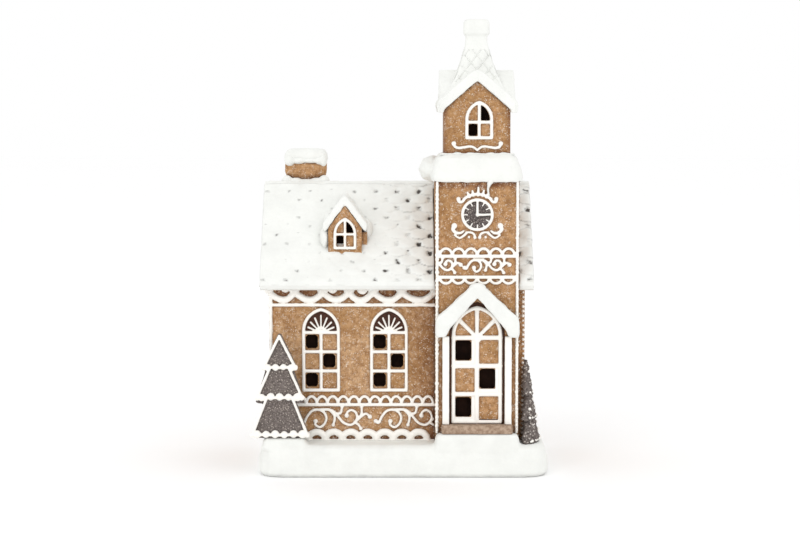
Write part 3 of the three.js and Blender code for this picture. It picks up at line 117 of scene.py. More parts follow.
# Windows: half width, spring and apex over the sill, frame, muntin, rows of panes, rays
NAVE_WINDOW = dict(half=12.1, spring=38.9, apex=53.6, bar=2.1, muntin=2.1, rows=3, rays=7, ray_width=1.0)
DOOR = dict(half=16.0, spring=56.1, apex=74.8, bar=2.5, muntin=3.0, rows=3, rays=3, ray_width=2.3)
BELFRY_WINDOW = dict(half=8.8, spring=12.6, apex=24.3, bar=2.1, muntin=2.0, crossbar=10.8)
DORMER_WINDOW = dict(half=7.3, spring=9.6, apex=20.2, bar=1.8, muntin=1.6, crossbar=9.6)
DOOR_REVEAL = 1.9

# Each window's own sizes, and the wall that its light hole goes through, with a sheet of painted shade in the
# hole
WINDOWS = {
    "window_left": (NAVE_WINDOW, "nave_front_wall"),
    "window_right": (NAVE_WINDOW, "nave_front_wall"),
    "door": (DOOR, "tower_front"),
    "belfry_window": (BELFRY_WINDOW, "belfry"),
    "dormer_window": (DORMER_WINDOW, "dormer"),
}
HOLE_SHADE_DEPTH = 5.2
HOLE_SHADE_INSET = 1.5

# Rows of piped arches, swags, domes and beads, in millimetres
BAND_ARCH = 7.0
BAND_RISE = 4.2
EAVE_STRING = 11.0  # down from the top of the swags
SWAG_RISE = 8.6  # from the string line up to the swags' ends
SWAG_ENDS = (0, 0.154, 0.325, 0.484, 0.631, 0.801, 1)  # shares of the width
SWAG_WIDTH = 4.2
SWAG_SAG = 5.4
SWAG_DRIPS = ((0.1, 10.8, 3.0), (0.385, 10.6, 3.4), (0.565, 10.2, 3.6))  # share, height, radius
DOME_PITCH = 11.1
DOME_START = 0.4
DOME_END = 4.4
CLOCK_TO_STRING = 26.0
TOWER_BAND = 13.2
TOWER_ARCHES = 6
BEAD_PITCH = 2.7
BEAD_RADIUS = 1.25
CORNER_BEAD_PITCH = 3.0

# One period of the running scroll, in shares of its length: along it and down from its string line
SCROLL = [
    [(-0.1, 0.2), (-0.06, 0.22), (-0.02, 0.14), (0.05, 0.06), (0.14, 0.045), (0.21, 0.085), (0.24, 0.16),
     (0.21, 0.24), (0.15, 0.28), (0.09, 0.245), (0.095, 0.2)],
    [(0.14, 0.045), (0.28, 0.045), (0.36, 0.09), (0.41, 0.155), (0.47, 0.22), (0.55, 0.25), (0.61, 0.225),
     (0.65, 0.155), (0.63, 0.08), (0.57, 0.05), (0.52, 0.08), (0.51, 0.125)],
    [(0.28, 0.045), (0.34, 0.11), (0.35, 0.17), (0.33, 0.25)],
    [(0.37, 0.1), (0.43, 0.085), (0.45, 0.0)],
    [(0.61, 0.225), (0.7, 0.14), (0.77, 0.1), (0.82, 0.14)],
    [(0.68, 0.16), (0.71, 0.09), (0.71, 0.0)],
    [(0.62, 0.215), (0.67, 0.25), (0.7, 0.3)],
]
BAND_PERIOD = 47.6
BAND_SCROLL_START = 22.25  # a period's start, from the band's left end
TOWER_PERIOD = 30.6
TOWER_SCROLL_SHIFT = 0.16

# Piping round the clock and under the belfry's window, in millimetres from the middle, for the right half
CLOCK_RING = 9.3
HOUR_MARK = (6.3, 7, 7.8)
CROWN_RADIUS = 12.9
CROWN_CURL = ((7.6, 10.3), (9.4, 8.2), (11.4, 8.1), (12.0, 9.8))
# Degrees from upright, reach and width
CROWN_RAYS = ((-24, 2.4, 2.0), (-12, 2.4, 1.9), (2, 4.2, 2.0), (15, 3.0, 1.8), (27, 2.0, 2.0))
# Points, and the width at both ends
CLOCK_CURLS = (
    (((14.4, -7.0), (15.2, -9.2), (13.4, -11.2), (10.6, -11.4), (8.6, -10.2)), 2.9, 1.3),
    (((14.2, -12.7), (11.2, -14.5), (8.4, -13.0), (6.7, -11.2)), 1.2, 1.8),
    (((6.4, -11.0), (3.7, -11.2), (2.0, -12.3), (1.5, -14.2)), 1.3, 1.6),
)
CLOCK_DROPS = ((14.4, -6.9, 1.9), (1.5, -14.2, 1.2), (5.2, -14.0, 0.9))  # x, z, radius
# In shares of half the width, and of five millimetres of height
BELFRY_CURL = ((0, 0.05), (0.14, 0.4), (0.3, 0.52), (0.55, 0.42), (0.76, 0.34), (0.92, 0.5), (0.98, 0.9))

# Tiers of the trees: half width and height at the top and at the hem, in shares, and the hem's blobs
LEFT_TREE_TIERS = ((0.0, 1.0, 0.56, 0.7, 4), (0.34, 0.69, 0.8, 0.405, 5), (0.46, 0.395, 0.98, 0.04, 6))
RIGHT_TREE_TIERS = ((0.04, 1.0, 0.46, 0.58, 5), (0.16, 0.62, 0.74, 0.28, 8), (0.32, 0.32, 1.0, 0.0, 10))
RIGHT_TREE_TURN = radians(72)
RIGHT_TREE_HALF = 13.5
RIGHT_TREE_LEAN = 3.8

# Diamonds piped on the spire
LATTICE_PITCH = 7.5 * MM
LATTICE_RADIUS = 0.34 * MM
LATTICE_STEPS = 16

# Drifts at the dormer, in millimetres: left or right cheek, place from its foot in front, and radii
DORMER_DRIFTS = (
    (-1, 1.2, 7, 10, (3.4, 7, 8)),
    (-1, 3, 13, 20, (3.2, 6, 6.5)),
    (1, -0.5, 13, 15, (4, 8, 7)),
)
# Drifts at the chimney, in millimetres: place along X, lift and half width
CHIMNEY_TOP_DRIFTS = ((3, 2.4, 3.6), (9, 1.0, 5), (17, 0.4, 6), (23, 1.4, 4), (25, 2.6, 2.6))
CHIMNEY_FOOT_DRIFTS = ((1.5, 3.2, 4), (7, 1.6, 6), (14, 0.8, 7), (21, 1.6, 6), (25.5, 3.4, 4))


def linear(color):
    """A colour given as six hex digits, as linear RGBA."""
    parts = [int(color[i : i + 2], 16) / 255 for i in (0, 2, 4)]
    return (*[c / 12.92 if c <= 0.04045 else ((c + 0.055) / 1.055) ** 2.4 for c in parts], 1.0)


def ramp(value, low, high):
    """0 at low and 1 at high, held at both ends."""
    return min(max((value - low) / (high - low), 0.0), 1.0)


# Materials


class Look:
    """A material under construction, with short calls for the nodes that it uses."""

    def __init__(self, name, roughness):
        self.material = bpy.data.materials.new(name)
        self.material.use_nodes = True
        self.tree = self.material.node_tree
        self.shader = self.tree.nodes["Principled BSDF"]
        self.shader.inputs["Roughness"].default_value = roughness
        self.place = self.node("ShaderNodeTexCoord").outputs["Object"]

    def node(self, kind, inputs=None, **settings):
        made = self.tree.nodes.new(kind)
        for key, value in settings.items():
            setattr(made, key, value)
        for key, value in (inputs or {}).items():
            self.feed(made.inputs[key], value)
        return made

    def feed(self, socket, value):
        if isinstance(value, bpy.types.NodeSocket):
            self.tree.links.new(value, socket)
        else:
            socket.default_value = value

    def noise(self, size, detail=2.0, roughness=0.5):
        """Noise from 0 to 1 with features of the given size, in millimetres."""
        inputs = {"Vector": self.place, "Scale": 1 / (size * MM), "Detail": detail, "Roughness": roughness}
        return self.node("ShaderNodeTexNoise", inputs).outputs["Fac"]

    def dots(self, size):
        """Distance to the nearest of scattered points, in cells of the given size in millimetres."""
        inputs = {"Vector": self.place, "Scale": 1 / (size * MM)}
        return self.node("ShaderNodeTexVoronoi", inputs).outputs["Distance"]

    def attribute(self, name):
        return self.node("ShaderNodeAttribute", attribute_name=name).outputs["Fac"]

    def span(self, value, low, high, start=0.0, end=1.0):
        """Maps low..high to start..end, held at both ends."""
        inputs = {"Value": value, "From Min": low, "From Max": high, "To Min": start, "To Max": end}
        return self.node("ShaderNodeMapRange", inputs).outputs["Result"]

    def math(self, operation, first, second):
        return self.node("ShaderNodeMath", {0: first, 1: second}, operation=operation).outputs[0]

    def mix(self, factor, first, second):
        """Mixes two colours, each a hex colour or a socket."""
        first, second = (linear(color) if isinstance(color, str) else color for color in (first, second))
        return self.node("ShaderNodeMix", {0: factor, 6: first, 7: second}, data_type="RGBA").outputs[2]

    def crevice(self, distance):
        """1 in the open and less where surfaces meet within the distance in millimetres."""
        return self.node("ShaderNodeAmbientOcclusion", {"Distance": distance * MM}, samples=8).outputs["AO"]

    def axis(self, name):
        return self.node("ShaderNodeSeparateXYZ", {0: self.place}).outputs[name]

    def color(self, value):
        self.feed(self.shader.inputs["Base Color"], value)

    def bump(self, height, distance, strength):
        inputs = {"Height": height, "Distance": distance * MM, "Strength": strength}
        self.feed(self.shader.inputs["Normal"], self.node("ShaderNodeBump", inputs).outputs["Normal"])


def gingerbread_look(name, light=GINGER_BROWN, shade_bands=()):
    """Baked, sugared gingerbread, with painted shade where icing and other parts meet it. Each shade band
    paints shade along an axis between two places."""
    look = Look(name, roughness=0.85)
    broad = look.span(look.noise(22, 4, 0.65), 0.36, 0.6)
    base = look.mix(broad, GINGER_MID, light)
    mottle = look.span(look.noise(3.0, 5, 0.8), 0.42, 0.62, 0.0, 0.85)
    base = look.mix(mottle, base, GINGER_DARK)
    # Bands of painted shade, darker along an axis, in random patches
    for axis, start, end, amount in shade_bands:
        near = look.span(look.axis(axis), start, end, 0.0, amount)
        patchy = look.span(look.noise(5, 4, 0.7), 0.36, 0.6, 0.35, 1.0)
        base = look.mix(look.math("MULTIPLY", near, patchy), base, PAINTED_SHADE_BROWN)
    pits = look.span(look.noise(0.9, 3, 0.8), 0.3, 0.42, 0.7, 0.0)
    base = look.mix(pits, base, DARK_BROWN_AND_SHADE)
    # Painted shade where surfaces meet
    crease_shade = look.span(look.crevice(3.6), 0.3, 0.86, 0.92, 0.0)
    base = look.mix(crease_shade, base, DARK_BROWN_AND_SHADE)
    drift = look.span(look.noise(9, 3, 0.6), 0.36, 0.6, 0.1, 0.9)
    uneven = look.span(look.noise(4, 3, 0.7), 0.34, 0.62, -0.08, 0.14)
    grains = look.span(look.math("ADD", look.dots(1.15), uneven), 0.14, 0.34, 0.9, 0.0)
    base = look.mix(look.math("MULTIPLY", grains, drift), base, SUGAR)
    frost = look.span(look.noise(2.2, 4, 0.7), 0.56, 0.68, 0.0, 0.45)
    base = look.mix(frost, base, SUGAR)
    look.color(base)
    look.bump(look.noise(1.1, 5, 0.7), 0.5, 0.6)
    return look.material


def dark_and_shadow_look():
    """Dark gingerbread, for the dark fields behind the window fans and the painted shadow round the door's
    frame.
    """
    look = Look("gingerbread_dark_and_shadow", roughness=0.85)
    look.color(look.mix(look.span(look.noise(1.8, 4, 0.7), 0.36, 0.66), DEEP_BROWN_AND_SHADOW, DARK_BROWN_AND_SHADE))
    look.bump(look.noise(1.1, 5, 0.7), 0.4, 0.6)
    return look.material


def hole_shade_look():
    """Painted shade of the unlit inside, for the sheets behind the light holes."""
    look = Look("shade_sheet", roughness=0.9)
    look.shader.inputs["Specular IOR Level"].default_value = 0.1
    look.color(look.mix(look.span(look.noise(6), 0.35, 0.65), HOLE_SHADE_DARK, HOLE_SHADE_LIGHT))
    return look.material


def snow_look(name, shade=0.5):
    """Sugary snow: white, with a little grey painted shade in the hollows."""
    look = Look(name, roughness=0.75)
    hollow = look.span(look.crevice(3), 0.45, 0.95, 1.0, 0.0)
    worn = look.span(look.noise(9, 3), 0.35, 0.65, 0.5, 1.0)
    # Painted shade: grey in the hollows, in random patches
    hollow_shade = look.math("MULTIPLY", look.math("MULTIPLY", hollow, worn), shade)
    base = look.mix(hollow_shade, SNOW_WHITE, SNOW_SHADE)
    base = look.mix(look.span(look.noise(14, 4, 0.6), 0.4, 0.7, 0.0, 0.12), base, SNOW_SHADE)
    look.color(base)
    grain = look.math("ADD", look.noise(1.0, 4, 0.7), look.math("MULTIPLY", look.noise(5, 2), 2.0))
    look.bump(grain, 0.35, 0.5)
    return look


def roof_look():
    """Snow on shingles, with painted shade from the attribute: grey, then dark, in the joints and under the
    shingles' ends.
    """
    look = snow_look("roof_snow", 0.35)
    snow = look.shader.inputs["Base Color"].links[0].from_socket
    attribute = look.attribute("worn")
    patchy = look.span(look.noise(1.8, 3, 0.7), 0.3, 0.6, 0.35, 1.0)
    worn = look.math("MULTIPLY", attribute, patchy)
    grey = look.mix(look.span(worn, 0.08, 0.55, 0.0, 0.8), snow, SNOW_SHADE)
    look.color(look.mix(look.span(worn, 0.5, 0.85), grey, SNOW_DARK))
    return look


def icing_look(name):
    """Piped royal icing, with brown painted shade in its hollows and where it meets the gingerbread."""
    look = Look(name, roughness=0.5)
    # Painted shade in the icing's hollows and where it meets the gingerbread
    hollow = look.span(look.crevice(1.2), 0.2, 0.62, 0.55, 0.0)
    look.color(look.mix(hollow, ICING_WHITE, ICING_SHADE))
    look.bump(look.noise(1.3, 3), 0.2, 0.4)
    return look.material


def cookie_look(name, dark, mid, light, size=0.9):
    """Dark sugared cookie, speckled light and dark, with painted shade in its creases."""
    look = Look(name, roughness=0.9)
    base = look.mix(look.span(look.noise(size, 4, 0.75), 0.38, 0.6), dark, mid)
    grains = look.span(look.dots(size * 1.5), 0.16, 0.36, 0.85, 0.0)
    base = look.mix(grains, base, light)
    # Painted shade: darker towards CLOCK_DARK in the creases
    edge = look.span(look.crevice(2.2), 0.3, 0.85, 0.85, 0.0)
    look.color(look.mix(edge, base, CLOCK_DARK))
    look.bump(look.noise(size, 4, 0.7), 0.5, 0.7)
    return look.material


def step_look():
    look = Look("step_stone", roughness=0.85)
    base = look.mix(look.span(look.noise(2.2, 4, 0.7), 0.38, 0.62), STEP_DARK, STEP_LIGHT)
    # Painted shade: darker in the stone's creases
    dark = look.span(look.crevice(2.5), 0.35, 0.9, 0.8, 0.0)
    look.color(look.mix(dark, base, DARK_BROWN_AND_SHADE))
    look.bump(look.noise(1.2, 4), 0.3, 0.6)
    return look.material


def plain_look(name, color, roughness, metallic=0.0):
    """Moulded plastic or metal, with a fine grain in its gloss."""
    look = Look(name, roughness=roughness)
    look.shader.inputs["Metallic"].default_value = metallic
    look.color(look.mix(look.span(look.noise(4, 2), 0.3, 0.7, 0.0, 0.12), color, GRAIN_GREY))
    gloss = look.span(look.noise(0.5, 3), 0.3, 0.7, roughness, roughness + 0.1)
    look.feed(look.shader.inputs["Roughness"], gloss)
    look.bump(look.noise(0.4, 2), 0.05, 0.3)
    return look.material


def lamp_look():
    look = Look("lamp_epoxy", roughness=0.15)
    look.color(look.mix(look.span(look.noise(2), 0.3, 0.7, 0.0, 0.3), LAMP_LIGHT, LAMP_WARM))
    look.shader.inputs["Transmission Weight"].default_value = 0.5
    return look.material


# Pieces


def modifier(obj, kind, name, **settings):
    made = obj.modifiers.new(name, kind)
    for key, value in settings.items():
        setattr(made, key, value)
    return made


def soften(obj, voxel, rounds, lumps=0.0, lump_size=5):
    """Turns a faceted solid into a rounded, slightly uneven one. Sizes are in millimetres."""
    modifier(obj, "REMESH", "round", mode="VOXEL", voxel_size=voxel * MM, use_smooth_shade=True)
    modifier(obj, "SMOOTH", "relax", factor=0.5, iterations=rounds)
    if lumps:
        texture = bpy.data.textures.new(f"{obj.name}_lumps", "CLOUDS")
        texture.noise_scale = lump_size * MM
        modifier(
            obj, "DISPLACE", "lumps", texture=texture, strength=lumps * MM, mid_level=0.5,
            texture_coords="GLOBAL", direction="NORMAL",
        )


def linked(name, data):
    obj = bpy.data.objects.new(name, data)
    bpy.context.scene.collection.objects.link(obj)
    return obj


def piece(name, mesh, material, smooth=True):
    obj = linked(name, mesh)
    mesh.materials.append(material)
    for face in mesh.polygons:
        face.use_smooth = smooth
    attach(obj, HOUSE)
    return obj


def from_bmesh(name, made):
    mesh = bpy.data.meshes.new(name)
    bmesh.ops.recalc_face_normals(made, faces=made.faces)
    made.to_mesh(mesh)
    made.free()
    return mesh


def shaped(name, made, material, smooth=True):
    """A piece from a finished bmesh."""
    return piece(name, from_bmesh(name, made), material, smooth)


def join_rings(made, rings):
    """Closes rings of vertices into one skin with two ends."""
    for low, high in zip(rings, rings[1:]):
        for j in range(len(low)):
            k = (j + 1) % len(low)
            made.faces.new((low[j], low[k], high[k], high[j]))
    made.faces.new(rings[0])
    made.faces.new(rings[-1])


def add_tube(made, points, radii, sides):
    """A closed tube along points, with one radius at each."""
    rings = []
    angles = [2 * pi * j / sides for j in range(sides)]
    for i, (point, radius) in enumerate(zip(points, radii)):
        turn = (points[min(i + 1, len(points) - 1)] - points[max(i - 1, 0)]).to_track_quat("Z", "Y")
        circle = [Vector((radius * cos(a), radius * sin(a), 0)) for a in angles]
        rings.append([made.verts.new(point + turn @ place) for place in circle])
    join_rings(made, rings)


def add_ball(made, place, radii, detail=2):
    bmesh.ops.create_icosphere(
        made, subdivisions=detail, radius=1.0, matrix=Matrix.LocRotScale(place, None, Vector(radii)),
    )


# Piping


def through(points, steps=6):
    """A smooth curve through points given as pairs."""
    curve = []
    for i in range(len(points) - 1):
        before, start, end, after = (
            Vector(points[min(max(i + k, 0), len(points) - 1)]) for k in (-1, 0, 1, 2)
        )
        for step in range(steps):
            t = step / steps
            curve.append(0.5 * (
                2 * start + (end - before) * t + (2 * before - 5 * start + 4 * end - after) * t * t
                + (3 * start - before - 3 * end + after) * t ** 3
            ))
    return [*curve, Vector(points[-1])]


def arc(x, z, radius_x, radius_z, start, end, steps=14):
    """Part of an ellipse, its angles in shares of half a turn from +X over +Z."""
    angles = [pi * (start + (end - start) * i / steps) for i in range(steps + 1)]
    return [Vector((x + radius_x * cos(a), z + radius_z * sin(a))) for a in angles]


class Piping:
    """Icing piped on an upright wall. Points are millimetres along X and Z from the given place, and back is
    the wall's face in Y. side is -1 where the wall faces the front and 1 at the back."""

    def __init__(self, back, x, z, side=-1):
        self.made = bmesh.new()
        self.place = Vector((x, back, z))
        self.side = side

    def at(self, x, z, out):
        return self.place + Vector((x, self.side * out, z)) * MM

    def stroke(self, points, width, end=None, height=ICING_HEIGHT):
        """A rounded stroke along points, from width to end, with round ends."""
        end = width if end is None else end
        points = [Vector(point) for point in points]
        last = len(points) - 1
        stations = []
        for i, point in enumerate(points):
            ahead = (points[min(i + 1, last)] - points[max(i - 1, 0)]).normalized()
            wave = 1 + 0.06 * noise.noise(Vector((point.x, point.y, last)) * 0.4)
            stations.append((point, ahead, (width + (end - width) * i / last) * wave, 1.0))
        caps = [radians(angle) for angle in (78, 52, 26)]
        for station, way, order in ((stations[0], -1, caps), (stations[-1], 1, caps[::-1])):
            point, ahead, wide, _ = station
            reach = way * wide / 2
            cap = [(point + ahead * (reach * sin(a)), ahead, wide, cos(a)) for a in order]
            stations = cap + stations if way < 0 else stations + cap
        rings = []
        for point, ahead, wide, share in stations:
            profile = [(wide / 2 * share, -0.3), (-wide / 2 * share, -0.3)]
            for j in range(STROKE_SIDES):
                angle = pi * (1 - j / (STROKE_SIDES - 1))
                profile.append((wide / 2 * share * cos(angle), height * share * sin(angle) ** 0.8))
            rings.append([
                self.made.verts.new(self.at(point.x + ahead.y * across, point.y - ahead.x * across, out))
                for across, out in profile
            ])
        join_rings(self.made, rings)

    def line(self, start, end, width, tip=None, height=ICING_HEIGHT):
        """A straight stroke from start to end, from width to tip."""
        middle = [(a + b) / 2 for a, b in zip(start, end)]
        self.stroke([start, middle, end], width, tip, height)

    def drop(self, x, z, radius, height=ICING_HEIGHT):
        add_ball(self.made, self.at(x, z, 0), (radius * MM, height * MM, radius * MM))

    def patch(self, points, height):
        """A flat sheet inside an outline."""
        rings = [[self.made.verts.new(self.at(x, z, out)) for x, z in points] for out in (-0.3, height)]
        join_rings(self.made, rings)

    def row(self, left, right, count, foot, rise, width, height=ICING_HEIGHT):
        """Arches side by side that stand on z = foot, or hang from it with rise below zero."""
        pitch = (right - left) / count
        for i in range(count):
            middle = left + pitch * (i + 0.5)
            self.stroke(arc(middle, foot, pitch / 2, rise, 0, 1), width, height=height)

    def scroll(self, x, top, period, width, left, right):
        """One period of the running scroll, kept between left and right."""
        for i, strand in enumerate(SCROLL):
            points = through([(x + along * period, top - down * period) for along, down in strand])
            kept = [p for p in points if left + 0.4 < p.x < right - 0.4]
            if len(kept) < 4:
                continue
            self.stroke(kept, width, width * 0.85)
            if kept[-1] == points[-1]:
                self.drop(points[-1].x, points[-1].y, width * (0.85 if i in (0, 1, 4) else 0.7))
            if i == 0 and kept[0] == points[0]:
                self.drop(points[0].x, points[0].y, width * 0.8)

    def piece(self, name, material, nodes, slot="icing", voxel=PIPING_VOXEL, lumps=0.15):
        """Melts all strokes together into one piece that stands for the nodes."""
        obj = shaped(name, self.made, material)
        soften(obj, voxel, 3, lumps, 3)
        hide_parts(*nodes)
        return obj


def piping_on(node, x=0.5, z=0.0, side=-1):
    """Piping on a node's face, from shares of its width and height, with both sizes in millimetres."""
    low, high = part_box(node)
    wide, tall = high.x - low.x, high.z - low.z
    back = high.y if side < 0 else low.y
    return Piping(back, low.x + wide * x, low.z + tall * z, side), wide / MM, tall / MM


def pointed_frame(icing, half, spring, apex, bar, x=0.0, height=ICING_HEIGHT):
    """The frame of a pointed window, from its sill at z = 0."""
    radius = (half ** 2 + (apex - spring) ** 2) / (2 * half)
    inset = bar / 2
    center = half - radius
    top = sqrt((radius - inset) ** 2 - center ** 2)
    sweep = atan2(top, -center) / pi
    left, right = x - half + inset, x + half - inset
    right_arc = arc(x + center, spring, radius - inset, radius - inset, 0, sweep, 10)
    left_arc = arc(x - center, spring, radius - inset, radius - inset, 1 - sweep, 1, 10)
    icing.stroke([(right, inset), (right, spring * 0.5), *right_arc], bar, height=height)
    icing.stroke([*left_arc, (left, spring * 0.5), (left, inset)], bar, height=height)
    icing.line((left, inset), (right, inset), bar, height=height)


def arch_outline(half, spring, apex, foot):
    """Outline of the pointed top of a window from the height of its foot up."""
    radius = (half ** 2 + (apex - spring) ** 2) / (2 * half)
    sweep = atan2(apex - spring, radius - half) / pi
    right = arc(half - radius, spring, radius, radius, 0, sweep, 8)
    left = arc(radius - half, spring, radius, radius, 1 - sweep, 1, 8)
    return [(-half, foot), (half, foot), *right, *left[1:]]


def ray_length(half, spring, apex, angle):
    """How far it is from the middle of the spring line to a pointed arch."""
    radius = (half ** 2 + (apex - spring) ** 2) / (2 * half)
    center = half - radius
    along = abs(cos(angle)) * center
    return along + sqrt(along ** 2 - center ** 2 + radius ** 2)


def fan_window(icing, half, spring, apex, bar, muntin, rows, rays, ray_width, x=0.0):
    """Rows of square panes and a fan of rays in the arch."""
    pointed_frame(icing, half, spring, apex, bar, x)
    pitch = (spring - bar) / rows
    icing.stroke([(x, bar / 2), (x, spring / 2), (x, spring - muntin / 2)], muntin)
    for row in range(1, rows + 1):
        z = bar + row * pitch - muntin / 2
        icing.line((x - half + bar / 2, z), (x + half - bar / 2, z), muntin)
    many = rays > 3
    hub = Vector((x, spring - muntin / 2))
    for i in range(rays):
        angle = pi * (i + 1) / (rays + 1)
        reach = ray_length(half - bar, spring, apex - bar, angle) * (0.86 if many else 1.04)
        tip = hub + Vector((reach * cos(angle), reach * sin(angle)))
        foot = hub + (tip - hub) * (0.24 if many else 0.1)
        icing.line(foot, tip, ray_width, ray_width * 1.25)
    icing.drop(hub.x, hub.y, muntin * (0.9 if many else 1.1))


def cross_window(icing, half, spring, apex, bar, muntin, crossbar):
    """A pointed frame with a cross of muntins."""
    pointed_frame(icing, half, spring, apex, bar)
    icing.stroke([(0, bar / 2), (0, apex / 2), (0, apex - bar)], muntin)
    icing.line((-half + bar / 2, crossbar), (half - bar / 2, crossbar), muntin)


def dark_fields(material):
    """Dark fields behind the fans of the nave's windows, in front and at the back."""
    half, spring, apex = (NAVE_WINDOW[key] for key in ("half", "spring", "apex"))
    outline = arch_outline(half - 1, spring, apex - 1, spring - 1)
    for way, side in (("front", -1), ("back", 1)):
        for name in ("window_left", "window_right"):
            low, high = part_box(name)
            wall = high.y if side < 0 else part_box("nave_back_wall")[1].y
            field = Piping(wall, (low.x + high.x) / 2, low.z, side)
            field.patch(outline, 0.2)
            shaped(f"{name}_{way}_field", field.made, material, smooth=False)


def door_shadow_line(material):
    """Painted shadow: a dark line round the door's frame."""
    line, _, _ = piping_on("door")
    pointed_frame(line, DOOR["half"] + 1.6, DOOR["spring"], DOOR["apex"] + 2.4, 3.0, height=0.6)
    obj = shaped("door_shadow_line", line.made, material)
    soften(obj, PIPING_VOXEL, 2, 0.3, 3)


def hole_shade_sheets(material):
    """Sheets of painted shade behind the light holes, for the unlit inside."""
    for name, (_, wall) in WINDOWS.items():
        shade_sheet, width, height = piping_on(name)
        shade_sheet.place.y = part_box(wall)[0].y + HOLE_SHADE_DEPTH * MM
        half, top = width / 2 - HOLE_SHADE_INSET, height - HOLE_SHADE_INSET
        shade_sheet.patch([(-half, HOLE_SHADE_INSET), (half, HOLE_SHADE_INSET), (half, top), (-half, top)], 0.3)
        shaped(f"{name}_film", shade_sheet.made, material, smooth=False)


def pipe_windows(material):
    for name, (size, _) in WINDOWS.items():
        icing, _, _ = piping_on(name)
        window = fan_window if "rays" in size else cross_window
        window(icing, **size)
        if name == "door":
            door_reveals(icing)
        icing.piece(f"{name}_piping", material, [name])


def door_reveals(icing):
    """Low icing at the right and at the foot of the door's open panes."""
    pitch = (DOOR["spring"] - DOOR["bar"]) / DOOR["rows"]
    inner = DOOR["half"] - DOOR["bar"]
    width = DOOR["muntin"]
    for row in range(DOOR["rows"]):
        low = DOOR["bar"] + row * pitch
        high = low + pitch - width
        left, right = ((-inner, -width / 2), (width / 2, inner))[row % 2]
        edge = right - DOOR_REVEAL / 2
        foot = low + DOOR_REVEAL / 2
        icing.line((edge, low), (edge, high), DOOR_REVEAL, height=0.5)
        icing.line((left, foot), (right, foot), DOOR_REVEAL, height=0.5)


def pipe_eave_swags(material):
    """Swags and drips under the eave, and a string line that turns down the left corner."""
    icing, width, tall = piping_on("eave_swags", x=0)
    string = tall - EAVE_STRING
    top = string + SWAG_RISE
    draw = random.Random(4)
    for left, right in zip(SWAG_ENDS, SWAG_ENDS[1:]):
        sag = SWAG_SAG * draw.uniform(0.95, 1.05)
        lean = draw.uniform(-0.08, 0.08)
        points = []
        for step in range(15):
            t = step / 14
            hang = 1 - abs(2 * (t + lean * sin(pi * t)) - 1) ** 2.2
            points.append((width * (left + (right - left) * t), top - sag * hang))
        icing.stroke(points, SWAG_WIDTH, height=2.2)
    for share in SWAG_ENDS:
        wide = 6.4 if 0 < share < 1 else 5.0
        x = width * share
        icing.stroke([(x, top + 3.6), (x, top), (x, top - 1.8)], wide + 3.4, wide - 2.8, 2.4)
    for share, height, radius in SWAG_DRIPS:
        icing.drop(width * share, string + height, radius, 2.4)
    icing.stroke([(width * t / 12, string) for t in range(13)], LINE)
    icing.stroke([(LINE / 2, z) for z in (0, 30, 60, top)], LINE)
    icing.piece("eave_swags_piping", material, ["eave_swags"], lumps=0.5)


def pipe_lower_band(material):
    """Arches on a string line over the running scroll."""
    icing, width, tall = piping_on("lower_icing_band", x=0)
    line = tall - BAND_RISE - LINE / 2
    icing.row(0.6, width - 0.6, round(width / BAND_ARCH), line, BAND_RISE + LINE / 2, CURL)
    icing.stroke([(width * t / 12, line) for t in range(13)], LINE)
    for i in range(-1, 2):
        start = BAND_SCROLL_START + i * BAND_PERIOD
        icing.scroll(start, line - LINE / 2, BAND_PERIOD, CURL, 0, width)
    icing.piece("lower_band_piping", material, ["lower_icing_band"])


def pipe_snow_scallops(material):
    """Domes of snow along the foot of the nave."""
    snow, width, _ = piping_on("snow_scallops", x=0)
    count = round((width - DOME_START - DOME_END) / DOME_PITCH)
    snow.row(DOME_START, width - DOME_END, count, 0, 5.2, 4.4, 2.4)
    snow.line((0, 0.1), (width, 0.1), 1.0, height=2.0)
    snow.piece("snow_scallops_piping", material, ["snow_scallops"], "snow", 0.4, 0.4)


def pipe_back(material):
    """Blind windows and a string line on the back wall."""
    icing, width, tall = piping_on("back_icing", side=1)
    half = width / 2
    for name in ("window_left", "window_right"):
        low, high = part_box(name)
        middle = ((low.x + high.x) / 2 - icing.place.x) / MM
        fan_window(icing, **NAVE_WINDOW, x=middle)
        icing.drop(middle, NAVE_WINDOW["apex"] + 0.6, 1.7)
    top = tall - LINE / 2
    icing.stroke([(-half + 1 + (half - 1) * t / 10, top) for t in range(21)], LINE)
    icing.piece("back_piping", material, ["back_icing"])


def pipe_tower(material):
    """Beaded corners, and a band of arches and scrolls between two string lines."""
    icing, width, top = piping_on("tower_icing")
    half = width / 2
    clock_low, clock_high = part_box("clock_face")
    upper = ((clock_low.z + clock_high.z) / 2 - icing.place.z) / MM - CLOCK_TO_STRING
    lower = upper - TOWER_BAND
    inner = half - LINE
    for side in (-1, 1):
        x = side * (half - LINE / 2)
        icing.stroke([(x, z * top / 30) for z in range(31)], LINE * 0.8, height=1.3)
        draw = random.Random(side)
        for i in range(round(top / BEAD_PITCH)):
            radius = BEAD_RADIUS * draw.uniform(0.8, 1.15) * (1.0 if side < 0 else 0.85)
            icing.drop(x + draw.uniform(-0.15, 0.15), BEAD_PITCH * (i + 0.5), radius, 1.9)
    for z in (upper, lower):
        icing.stroke([(-inner + inner * t / 8, z) for t in range(17)], LINE)
    reach = (LINE - CURL) / 2
    for line, rise in ((upper, 4.6 + reach), (lower, -3.7 - reach)):
        icing.row(0.5 - inner, inner - 0.5, TOWER_ARCHES, line, rise, CURL)
    for i in (-1, 0):
        start = (i - TOWER_SCROLL_SHIFT) * TOWER_PERIOD
        icing.scroll(start, upper - LINE / 2, TOWER_PERIOD, CURL * 0.95, -inner, inner)
    icing.piece("tower_piping", material, ["tower_icing"])


